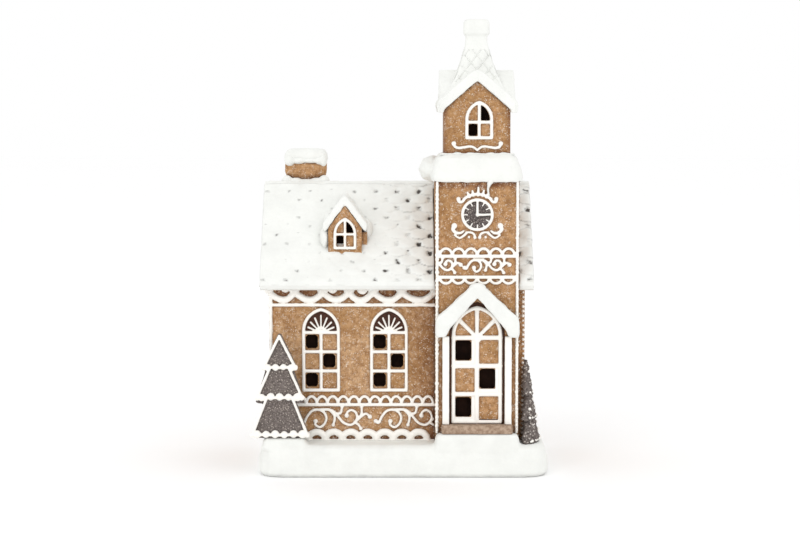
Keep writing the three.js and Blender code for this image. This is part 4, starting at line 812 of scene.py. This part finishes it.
def pipe_clock_face(material):
    """Ring, hour marks and hands at three o'clock."""
    icing, _, _ = piping_on("clock_face", z=0.5)
    icing.stroke(arc(0, 0, CLOCK_RING, CLOCK_RING, 0, 2.04, 48), 2.0)
    for hour in range(12):
        angle = pi * hour / 6
        if hour not in (0, 3):
            mark = [(sin(angle) * out, cos(angle) * out) for out in HOUR_MARK]
            icing.stroke(mark, 0.95, height=1.5)
    icing.stroke([(0, -0.4), (0, 3), (0, 8.2)], 1.9, 1.5, height=2.1)
    icing.stroke([(-0.4, 0), (4, 0), (7.6, 0.2)], 1.8, 1.5, height=2.1)
    icing.piece("clock_piping", material, ["clock_icing"])


def pipe_clock_crown(material):
    """An arch over the clock with curled ends and rays."""
    crown, _, _ = piping_on("clock_face", z=0.5)
    crown.stroke(arc(0, 0, CROWN_RADIUS, CROWN_RADIUS, 0.27, 0.73), 1.9)
    for side in (-1, 1):
        crown.stroke(through([(side * x, z) for x, z in CROWN_CURL]), 1.5, 2.3)
        crown.drop(side * 11.8, 9.9, 1.45)
    for degrees, reach, width in CROWN_RAYS:
        x, z = sin(radians(degrees)), cos(radians(degrees))
        reaches = (12.6, 14, CROWN_RADIUS + reach)
        crown.stroke([(x * out, z * out) for out in reaches], width * 1.25, width * 0.6)
    crown.piece("crown_piping", material, ["clock_crown"])


def pipe_clock_scrolls(material):
    """Curls and drops under the clock, alike on both sides."""
    scrolls, _, _ = piping_on("clock_face", z=0.5)
    for side in (-1, 1):
        for points, width, end in CLOCK_CURLS:
            scrolls.stroke(through([(side * x, z) for x, z in points]), width, end)
        for x, z, radius in CLOCK_DROPS:
            scrolls.drop(side * x, z, radius)
    scrolls.piece("clock_scroll_piping", material, ["clock_scrolls"])


def pipe_belfry(material):
    """Two curls under the belfry's window."""
    icing, width, _ = piping_on("belfry_swirl")
    half = width / 2 - 1.4
    for side in (-1, 1):
        icing.stroke(through([(side * x * half, 0.6 + z * 5) for x, z in BELFRY_CURL]), 1.4, 2.0)
        icing.drop(side * half * 0.97, 5.0, 1.6)
    icing.piece("belfry_swirl_piping", material, ["belfry_swirl"])


# Snow on the roof: a skin over the shingles, with the snow thin over their joints near the tower, and painted
# shade in the joints and under the shingles' ends


def shingle_height(x, along):
    """Height over the board at a place along the eave and up the slope, in millimetres."""
    pitch = slope_length / SHINGLE_ROWS
    row = int(along // pitch)
    across = ((x + (row % 2) * SHINGLE_WIDTH / 2) / SHINGLE_WIDTH) % 1
    if along - row * pitch < SHINGLE_DROP * (1 - sqrt(max(0.0, 1 - (2 * across - 1) ** 2))):
        row -= 1
    low = row * pitch
    full = pitch + SHINGLE_DROP
    return SHINGLE_LIFT * max(0.0, low + full - along) / full


def joint_distance(x, along):
    """Distance in millimetres to the middle of the nearest joint between two shingles of a row."""
    pitch = slope_length / SHINGLE_ROWS
    row = int(along // pitch)
    across = ((x + (row % 2) * SHINGLE_WIDTH / 2) / SHINGLE_WIDTH) % 1
    return hypot(min(across, 1 - across) * SHINGLE_WIDTH, along - row * pitch - 2.4)


def roof_point(x, along, height, side):
    """A point on a slope in the scene: x, up the slope and out from its underside, in millimetres."""
    back = along * cos(ROOF_PITCH) - height * sin(ROOF_PITCH)
    rise = along * sin(ROOF_PITCH) + height * cos(ROOF_PITCH)
    return Vector((x * MM, ridge_y + side * (slope_run - back) * MM, eave_z + rise * MM))


def roof_rooms(side):
    """Rectangles, as low and high X and Y, where the tower or the dormer's room takes the roof's place."""
    if side > 0:
        return []
    left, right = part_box("tower_left")[0].x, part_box("tower_right")[1].x
    tower = (left - 0.5 * MM, right + 0.5 * MM, -1.0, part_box("tower_back")[1].y)
    low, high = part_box("dormer")
    middle = (low.x + high.x) / 2
    room = (middle - 8 * MM, middle + 8 * MM, low.y + 5 * MM, high.y - 4 * MM)
    return [tower, room]


def rough(x, y, z, scale=1.0):
    """Smooth noise, from about -1 to 1."""
    return noise.noise(Vector((x, y, z)) * scale)


def snow_at(x, along, u, side, near_tower):
    """Height of the snow over the slope's underside, in millimetres, and how much painted shade it takes in
    the joints and under the shingles' ends. u is the place along the eave from the slope's middle."""
    here = shingle_height(u, along)
    step = ramp(shingle_height(u, along + 1.5) - here, 0.15, 0.9)
    wander = rough(x, along, 4, 0.35) * 1.1
    distance = joint_distance(u + wander, along - wander)
    joint = ramp(distance, 2.0 + 0.9 * near_tower, 0.7 + 0.6 * near_tower)
    spot = rough(round(u / SPOT_WIDTH), round(along / SPOT_RISE), 5.3 + side, 1.7)
    strength = near_tower ** 1.3 * (0.85 + 0.9 * spot) + 0.75 * ramp(spot, -0.02, 0.25)
    spread = 0.7 + 0.9 * rough(x * 0.12, along * 0.12, 1)
    # Painted shade: grey to dark in the joints and under the shingles' ends, strongest near the tower
    shingle_shade = max(joint * strength, step * near_tower ** 1.1 * 0.62 * spread)
    depth = 0.35 + 0.65 * near_tower
    drift = rough(x, along, side, 0.09) * 0.5 + rough(x, along, 7, 0.3) * 0.25
    filled = 1.0 + (here - 1.0) * depth
    cover = SNOW_COVER * (2.2 - 1.2 * depth)
    return ROOF_BOARD + filled + cover + drift - 0.9 * joint * strength, shingle_shade


def rounded_off(x, along, left, right):
    """How far the snow falls off near the slope's ends and its eave."""
    edge = min(x - left, right - x, 3.0) / 3
    return 1.4 * (1 - sqrt(1 - (1 - edge) ** 2)) + 1.7 * ramp(along, 4.0, SNOW_START) ** 2


def snow_faces(verts, columns, rows, side):
    """Squares between the points of the grid, left out over the rooms."""
    rooms = roof_rooms(side)
    faces = []
    for i in range(columns):
        for j in range(rows):
            start = i * (rows + 1) + j
            face = [start, start + 1, start + rows + 2, start + rows + 1]
            middle = (verts[face[0]] + verts[face[2]]) / 2
            if not any(room[0] < middle.x < room[1] and room[2] < middle.y < room[3] for room in rooms):
                faces.append(face[::-side])
    return faces


def roof_snow(name, side, material):
    """A skin of snow over a slope. side is -1 for the front slope and 1 for the back."""
    low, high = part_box("roof_front")
    left, right = low.x / MM, high.x / MM
    columns = round((right - left) / SNOW_GRID)
    rows = round((slope_length + SNOW_OVERRUN) / SNOW_GRID)
    places, heights, shingle_shades = {}, {}, []
    for i in range(columns + 1):
        x = left + (right - left) * i / columns
        u = -side * (x - (left + right) / 2)
        # On the back slope the snow thins and takes painted shade alike all along, a little at random
        back_wear_and_shade = 0.25 + 0.2 * rough(x * 0.02, 0, 3)
        near_tower = ramp(x, *WEAR_AND_SHADE_SPAN) if side < 0 else back_wear_and_shade
        for j in range(rows + 1):
            along = SNOW_START + (slope_length + SNOW_OVERRUN) * j / rows
            height, shingle_shade = snow_at(x, along, u, side, near_tower)
            places[i, j] = x, along
            heights[i, j] = height - rounded_off(x, along, left, right)
            shingle_shades.append(shingle_shade)
    verts = []
    for (i, j), height in heights.items():
        near = [heights.get((i + a, j + b), height) for a in (-1, 0, 1) for b in (-1, 0, 1)]
        verts.append(roof_point(*places[i, j], sum(near) / 9, side))
    mesh = bpy.data.meshes.new(name)
    mesh.from_pydata(verts, [], snow_faces(verts, columns, rows, side))
    # The painted shade of each point, for the roof's material
    mesh.attributes.new("worn", "FLOAT", "POINT").data.foreach_set("value", shingle_shades)
    obj = piece(name, mesh, material)
    modifier(obj, "SOLIDIFY", "thickness", thickness=1.0 * MM, offset=-1)


def snow_roll(name, start, end, radius, material, drips=()):
    """A roll of snow from start to end, and drips as place along, reach down and width, in millimetres."""
    made = bmesh.new()
    count = max(4, round((end - start).length / (2 * MM)))
    points = [start + (end - start) * i / count for i in range(count + 1)]
    swells = [1 + 0.09 * noise.noise(p * 90) + 0.05 * noise.noise(p * 300) for p in points]
    radii = [radius * MM * swell for swell in swells]
    points = [p + Vector((0, 0, 0.35 * MM * noise.noise(p * 60))) for p in points]
    add_tube(made, points, radii, 12)
    for along, reach, wide in drips:
        place = start + (end - start).normalized() * along * MM - Vector((0, 0, reach * MM / 2))
        add_ball(made, place, (wide * MM, 2.4 * MM, (radius + reach) * MM / 1.6))
    obj = shaped(name, made, material)
    soften(obj, 0.6, 4, 0.6)


def roof_rolls(material):
    """Rolls of snow along the eaves and the ridge."""
    low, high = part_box("roof_front")
    tower_left, tower_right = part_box("tower_left")[0].x / MM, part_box("tower_right")[1].x / MM
    left, right = low.x / MM + 2.4, high.x / MM - 2.4
    spans = {
        "eave_snow_front": (left, tower_left - 1.5, -1, FRONT_EAVE_DRIPS),
        "eave_snow_right": (tower_right + 3, right, -1, ()),
        "eave_snow_back": (left, right, 1, BACK_EAVE_DRIPS),
    }
    for name, (start, end, side, drips) in spans.items():
        ends = [roof_point(x, 1.4, 2.4, side) for x in (start, end)]
        snow_roll(name, *ends, EAVE_RADIUS, material, drips)
    ridge = [roof_point(x, slope_length + 1.9, 2.6, -1) for x in (left, right)]
    for point in ridge:
        point.y = ridge_y
    snow_roll("ridge_snow", *ridge, RIDGE_RADIUS, material)


def belfry_snow(material):
    """The spire, its cap and the belfry's roof under one coat of snow."""
    made = bmesh.new()
    nodes = ("belfry_roof", "spire", "spire_cap")
    for node in nodes:
        made.from_mesh(frame["nodes"][node].data)
    obj = shaped("belfry_snow", made, material)
    soften(obj, 0.6, 7, 0.8)
    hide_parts(*nodes)


def surface_of(node):
    solid = bmesh.new()
    solid.from_mesh(frame["nodes"][node].data)
    return BVHTree.FromBMesh(solid)


def lattice_runs(tree, turn, lean, offset):
    """Stretches of one slanting thread that lie on a face of the spire, whose sides turn by quarters."""
    low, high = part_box("spire")
    middle = (low + high) / 2
    out = Matrix.Rotation(turn * pi / 2, 3, "Z") @ Vector((0, -1, 0))
    across = Matrix.Rotation(turn * pi / 2, 3, "Z") @ Vector((1, 0, 0))
    runs = [[]]
    for i in range(LATTICE_STEPS + 1):
        z = low.z + 11 * MM + (high.z - low.z - 20 * MM) * i / LATTICE_STEPS
        u = offset + lean * (z - low.z) * 0.8
        start = Vector((middle.x, middle.y, z)) + across * u + out * 40 * MM
        place, normal, _, distance = tree.ray_cast(start, -out, 39 * MM)
        if place and normal.dot(out) > 0.5 and abs(u) < 40 * MM - distance - 0.2 * MM:
            runs[-1].append(place + out * 0.15 * MM)
        else:
            runs.append([])
    return [run for run in runs if len(run) > 1]


def spire_lattice(material):
    """Diamonds piped on the spire's four flared faces."""
    tree = surface_of("spire")
    made = bmesh.new()
    for turn, lean, k in product(range(4), (-1, 1), range(-7, 8)):
        for run in lattice_runs(tree, turn, lean, k * LATTICE_PITCH):
            add_tube(made, run, [LATTICE_RADIUS] * len(run), 5)
    shaped("spire_lattice", made, material)


def tower_drips(material):
    """A strand of icing that ran down from the ledge beside the clock."""
    icing, _, _ = piping_on("tower_icing", z=1)
    icing.stroke([(8.2, 1.0), (7.2, -0.8), (6.9, -2.6)], 4.0, 1.6, height=2.4)
    icing.stroke(through([(6.9, -1.5), (6.6, -4.5), (7.1, -7.8)]), 1.7, 1.3)
    obj = shaped("ledge_drips", icing.made, material)
    soften(obj, PIPING_VOXEL, 3, 0.2)


def nave_corner_beads(material):
    """Beads down the nave's corner at the right of the tower."""
    low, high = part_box("nave_right_wall")
    icing = Piping(low.y, high.x, low.z)
    draw = random.Random(9)
    top = (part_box("nave_front_wall")[1].z - low.z) / MM
    for i in range(round(top / CORNER_BEAD_PITCH)):
        z = CORNER_BEAD_PITCH * (i + 0.5)
        icing.drop(-1.0 + draw.uniform(-0.2, 0.2), z, draw.uniform(0.8, 1.15), 1.6)
        if draw.random() < 0.35:
            z = CORNER_BEAD_PITCH * i
            icing.drop(-3.6 + draw.uniform(-0.3, 0.3), z, draw.uniform(0.4, 0.7), 1.0)
    obj = shaped("nave_corner_beads", icing.made, material)
    soften(obj, 0.35, 2)


def pipe_left_tree(material):
    """Icing round the tiers of the left tree, with hems of blobs."""
    icing, width, tall = piping_on("tree_left_icing")
    half = width / 2 - 0.9
    tall -= 0.9
    draw = random.Random(3)
    for top_half, top, foot_half, foot, blobs in LEFT_TREE_TIERS:
        hem = foot * tall
        reach = foot_half * half
        for side in (-1, 1):
            tip = Vector((side * reach, hem))
            icing.line(Vector((side * top_half * half, top * tall)), tip, 1.8)
            icing.drop(tip.x, tip.y - 0.4, 1.9)
        icing.stroke([(-reach, hem), (0, hem - 0.4), (reach, hem)], 2.0)
        for i in range(blobs):
            x = reach * (2 * (i + 0.5) / blobs - 1)
            z = hem - 0.1 + draw.uniform(-0.4, 0.4)
            icing.drop(x, z, reach / blobs * draw.uniform(0.82, 1.0))
    icing.piece("tree_left_piping", material, ["tree_left_icing"], lumps=0.3)


def right_tree_place(along, out, z):
    """A place on the right tree, in the scene: along its width, out from its middle plane and up."""
    low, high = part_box("tree_right")
    lean = RIGHT_TREE_LEAN * MM * z / ((high.z - low.z) / MM)
    foot = Vector(((low.x + high.x) / 2 - lean, (low.y + high.y) / 2, low.z + z * MM))
    return foot + Matrix.Rotation(RIGHT_TREE_TURN, 3, "Z") @ Vector((along, -out, 0)) * MM


def cookie_tier(body, tall, top_half, top, foot_half, foot):
    """One tier of the right tree, thicker towards its hem."""
    rings = []
    for i in range(6):
        z = (top + (foot - top) * i / 5) * tall
        half = (top_half + (foot_half - top_half) * i / 5) * RIGHT_TREE_HALF
        thick = 1.3 + half * 0.27
        rings.append([
            body.verts.new(right_tree_place(half * cos(a), thick * sin(a), z))
            for a in [pi * j / 8 for j in range(16)]
        ])
    join_rings(body, rings)


def sugared_hem(icing, tall, top, reach, foot, blobs, draw):
    """Blobs of sugar on the right tree's hem and flank, on the side to the right."""
    for _ in range(blobs * 2):
        angle = pi * draw.uniform(0.1, 0.8)
        out = (1.3 + reach * 0.27) * sin(angle)
        size = draw.uniform(0.5, 1.15)
        rise = draw.choice((0, 0, 0, 0.3, 0.6))
        near = 1 - rise * 0.5
        z = (foot + (top - foot) * rise) * tall + 0.6 + size
        place = right_tree_place(reach * near * cos(angle), out * near, z)
        add_ball(icing, place, [size * MM] * 3)


def right_tree(cookie, material):
    """The right tree, seen nearly edge on: lumpy tiers of cookie with sugared hems."""
    low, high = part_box("tree_right")
    tall = (high.z - low.z) / MM
    body, icing = bmesh.new(), bmesh.new()
    draw = random.Random(12)
    for top_half, top, foot_half, foot, blobs in RIGHT_TREE_TIERS:
        cookie_tier(body, tall, top_half, top, foot_half, foot)
        sugared_hem(icing, tall, top, foot_half * RIGHT_TREE_HALF, foot, blobs, draw)
    tree = shaped("tree_right_body", body, cookie)
    soften(tree, 0.5, 2, 3.4, 2.4)
    hems = shaped("tree_right_hems", icing, material)
    soften(hems, 0.35, 2, 0.4, 2)
    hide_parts("tree_right")
    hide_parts("tree_right_icing")


def drifts(material):
    """Snow drifted against the dormer's cheeks, on and before the chimney, on the tip of the porch's gable
    and along the belfry's foot."""
    made = bmesh.new()
    low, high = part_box("dormer")
    for cheek, x, y, z, radii in DORMER_DRIFTS:
        edge = low.x if cheek < 0 else high.x
        place = Vector((edge + x * MM, low.y + y * MM, low.z + z * MM))
        add_ball(made, place, Vector(radii) * MM, 3)
    low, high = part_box("chimney")
    for x, lift, wide in CHIMNEY_TOP_DRIFTS:
        place = Vector((low.x + x * MM, low.y + MM, high.z + 1.2 * MM))
        add_ball(made, place, Vector((wide, 3.4, 1.4 + lift)) * MM, 3)
    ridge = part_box("roof_front")[1].z
    for x, lift, wide in CHIMNEY_FOOT_DRIFTS:
        place = Vector((low.x + x * MM, low.y - MM, ridge - MM))
        add_ball(made, place, Vector((wide, 4, 1.6 + lift)) * MM, 3)
    low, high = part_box("porch_snow")
    middle = (low + high) / 2
    tip = Vector((middle.x, middle.y, high.z - 3.6 * MM))
    add_ball(made, tip, Vector((5.6, 3.6, 3.4)) * MM, 3)
    low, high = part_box("belfry")
    draw = random.Random(7)
    for i in range(11):
        place = Vector((low.x + (high.x - low.x) * i / 10, low.y - 0.3 * MM, low.z))
        add_ball(made, place, Vector((3.4, 1.6, draw.uniform(0.6, 1.9))) * MM)
    obj = shaped("snow_drifts", made, material)
    soften(obj, 0.5, 4, 0.6)


# Scene


def camera():
    data = bpy.data.cameras.new("camera")
    data.sensor_width = SENSOR_WIDTH
    data.lens = FOCAL_LENGTH
    obj = linked("camera", data)
    back = Vector((0, -cos(VIEW_ELEVATION), sin(VIEW_ELEVATION)))
    obj.location = VIEW_TARGET + back * VIEW_DISTANCE
    obj.rotation_euler = (pi / 2 - VIEW_ELEVATION, 0, 0)
    bpy.context.scene.camera = obj


def soft_light(name, place, size, power):
    data = bpy.data.lights.new(name, "AREA")
    data.size = size
    data.energy = power
    obj = linked(name, data)
    obj.location = place
    obj.rotation_euler = (Vector((0, 0, 0.12)) - place).to_track_quat("-Z", "Y").to_euler()


def studio():
    world = bpy.data.worlds.new("studio")
    world.use_nodes = True
    background = world.node_tree.nodes["Background"]
    background.inputs["Color"].default_value = (1, 1, 1, 1)
    background.inputs["Strength"].default_value = WORLD_LIGHT
    bpy.context.scene.world = world
    bpy.context.scene.view_settings.view_transform = "Standard"
    soft_light("key", Vector((-0.7, -1.3, 1.1)), 0.7, KEY_POWER)
    soft_light("fill", Vector((0.9, -1.2, 0.7)), 0.9, FILL_POWER)
    made = bmesh.new()
    bmesh.ops.create_grid(made, x_segments=1, y_segments=1, size=6)
    floor = linked("floor", from_bmesh("floor", made))
    look = Look("floor", roughness=0.9)
    look.color((1, 1, 1, 1))
    floor.data.materials.append(look.material)


# Which material a node takes where it isn't its slot's own
SLOTS = {
    "nave_front_wall": "nave_front",
    "tower_front": "tower_front",
    "belfry": "belfry_wall",
    "dormer_snow": "high_snow",
    "porch_snow": "high_snow",
}

# Voxel, rounds of smoothing and lumps, in millimetres, for nodes that are poured, snowed or baked
ROUNDED = {
    **{name: (0.7, 8, 1.0) for name in ("ledge_snow", "chimney_snow", "dormer_snow")},
    **{name: (0.35, 4, 0.3) for name in ("porch_pillar_left", "porch_pillar_right")},
    "porch_snow": (0.7, 22, 1.0),
    "snow_base": (1.2, 5, 0.0),
    "chimney": (0.5, 10, 1.0),
    "doorstep": (0.5, 2, 0.4),
    "tree_left": (0.45, 3, 0.4),
}


def dress_nodes(looks):
    """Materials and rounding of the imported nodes."""
    slot_of = {entry["node"]: entry["material_slot"] for entry in frame["record"]["subparts"]}
    for name, obj in frame["nodes"].items():
        for slot in obj.material_slots:
            slot.link = "OBJECT"
            slot.material = looks[SLOTS.get(name, slot_of[name])]
    for name, (voxel, rounds, lumps) in ROUNDED.items():
        soften(frame["nodes"][name], voxel, rounds, lumps)


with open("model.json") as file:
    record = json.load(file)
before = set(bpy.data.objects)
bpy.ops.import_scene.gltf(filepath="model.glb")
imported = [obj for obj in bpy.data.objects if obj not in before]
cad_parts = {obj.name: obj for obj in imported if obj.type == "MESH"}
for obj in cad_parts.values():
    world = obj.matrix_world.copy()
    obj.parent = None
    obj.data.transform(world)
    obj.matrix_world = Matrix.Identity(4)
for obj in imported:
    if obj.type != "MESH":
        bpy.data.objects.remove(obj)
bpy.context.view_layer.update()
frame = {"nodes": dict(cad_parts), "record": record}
camera()
studio()

ridge_y = (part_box("nave_left_wall")[0].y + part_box("nave_left_wall")[1].y) / 2
slope_run = (ridge_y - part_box("nave_left_wall")[0].y) / MM + EAVE_OVERHANG
slope_length = slope_run / cos(ROOF_PITCH)
eave_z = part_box("nave_front_wall")[1].z + (ROOF_GAP - EAVE_OVERHANG * tan(ROOF_PITCH)) * MM

snow = snow_look("snow").material
icing = icing_look("icing")
string_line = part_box("nave_front_wall")[1].z - 17.6 * MM
# Bands of painted shade on the nave's front: darker towards the tower, above the string line under the eave,
# and towards the foot
nave_front_shade_bands = (
    ("X", 2 * MM, 24 * MM, 0.75),
    ("Z", string_line, string_line + 6 * MM, 0.95),
    ("Z", 27 * MM, 21 * MM, 0.9),
)
belfry_low, belfry_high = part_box("belfry")
# Painted shade at the belfry's two side edges and at its foot
belfry_shade_bands = (
    ("X", belfry_high.x - 4 * MM, belfry_high.x, 0.9),
    ("X", belfry_low.x + 3 * MM, belfry_low.x, 0.8),
    ("Z", belfry_low.z + 4 * MM, belfry_low.z + 1 * MM, 0.8),
)
ledge_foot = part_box("ledge_snow")[0].z
# Painted shade just under the ledge's snow
tower_shade_bands = (("Z", ledge_foot - 3.5 * MM, ledge_foot - 0.5 * MM, 0.95),)
looks = {
    "gingerbread": gingerbread_look("gingerbread"),
    # Gingerbread with bands of painted shade for the nave's front, the tower's front and the belfry
    "nave_front": gingerbread_look("gingerbread_nave_front", GINGER_LIGHT, nave_front_shade_bands),
    "tower_front": gingerbread_look("gingerbread_tower_front", GINGER_BROWN, tower_shade_bands),
    "belfry_wall": gingerbread_look("gingerbread_belfry", GINGER_BROWN, belfry_shade_bands),
    # Snow with less painted shade in its hollows
    "high_snow": snow_look("high_snow", 0.25).material,
    "snow": snow,
    "icing": icing,
    "cookie": cookie_look("cookie", COOKIE_DARK, COOKIE_MID, COOKIE_LIGHT),
    "clock": cookie_look("clock_cookie", CLOCK_DARK, CLOCK_MID, COOKIE_LIGHT, 0.7),
    "step": step_look(),
    "white_plastic": plain_look("white_plastic", PLASTIC_WHITE, 0.45),
    "black_plastic": plain_look("black_plastic", PLASTIC_BLACK, 0.4),
    "steel": plain_look("steel", STEEL, 0.25, 1.0),
    "lamp": lamp_look(),
    "cell": plain_look("cell_sleeve", CELL_SLEEVE, 0.35),
}
dress_nodes(looks)

dark_and_shadow = dark_and_shadow_look()
dark_fields(dark_and_shadow)
door_shadow_line(dark_and_shadow)
hole_shade_sheets(hole_shade_look())
for pipe in (
    pipe_windows, pipe_eave_swags, pipe_lower_band, pipe_snow_scallops, pipe_back, pipe_tower,
    pipe_clock_face, pipe_clock_crown, pipe_clock_scrolls, pipe_belfry,
):
    pipe(icing)
tower_drips(snow)
nave_corner_beads(icing)
pipe_left_tree(icing)
sugared = cookie_look("cookie_sugared", COOKIE_DARK, COOKIE_MID, COOKIE_SUGAR, 1.2)
right_tree(sugared, icing)
drifts(snow)

roof_material = roof_look().material
roof_snow("roof_front_snow", -1, roof_material)
roof_snow("roof_back_snow", 1, roof_material)
roof_rolls(snow)
belfry_snow(looks["high_snow"])
spire_lattice(looks["high_snow"])
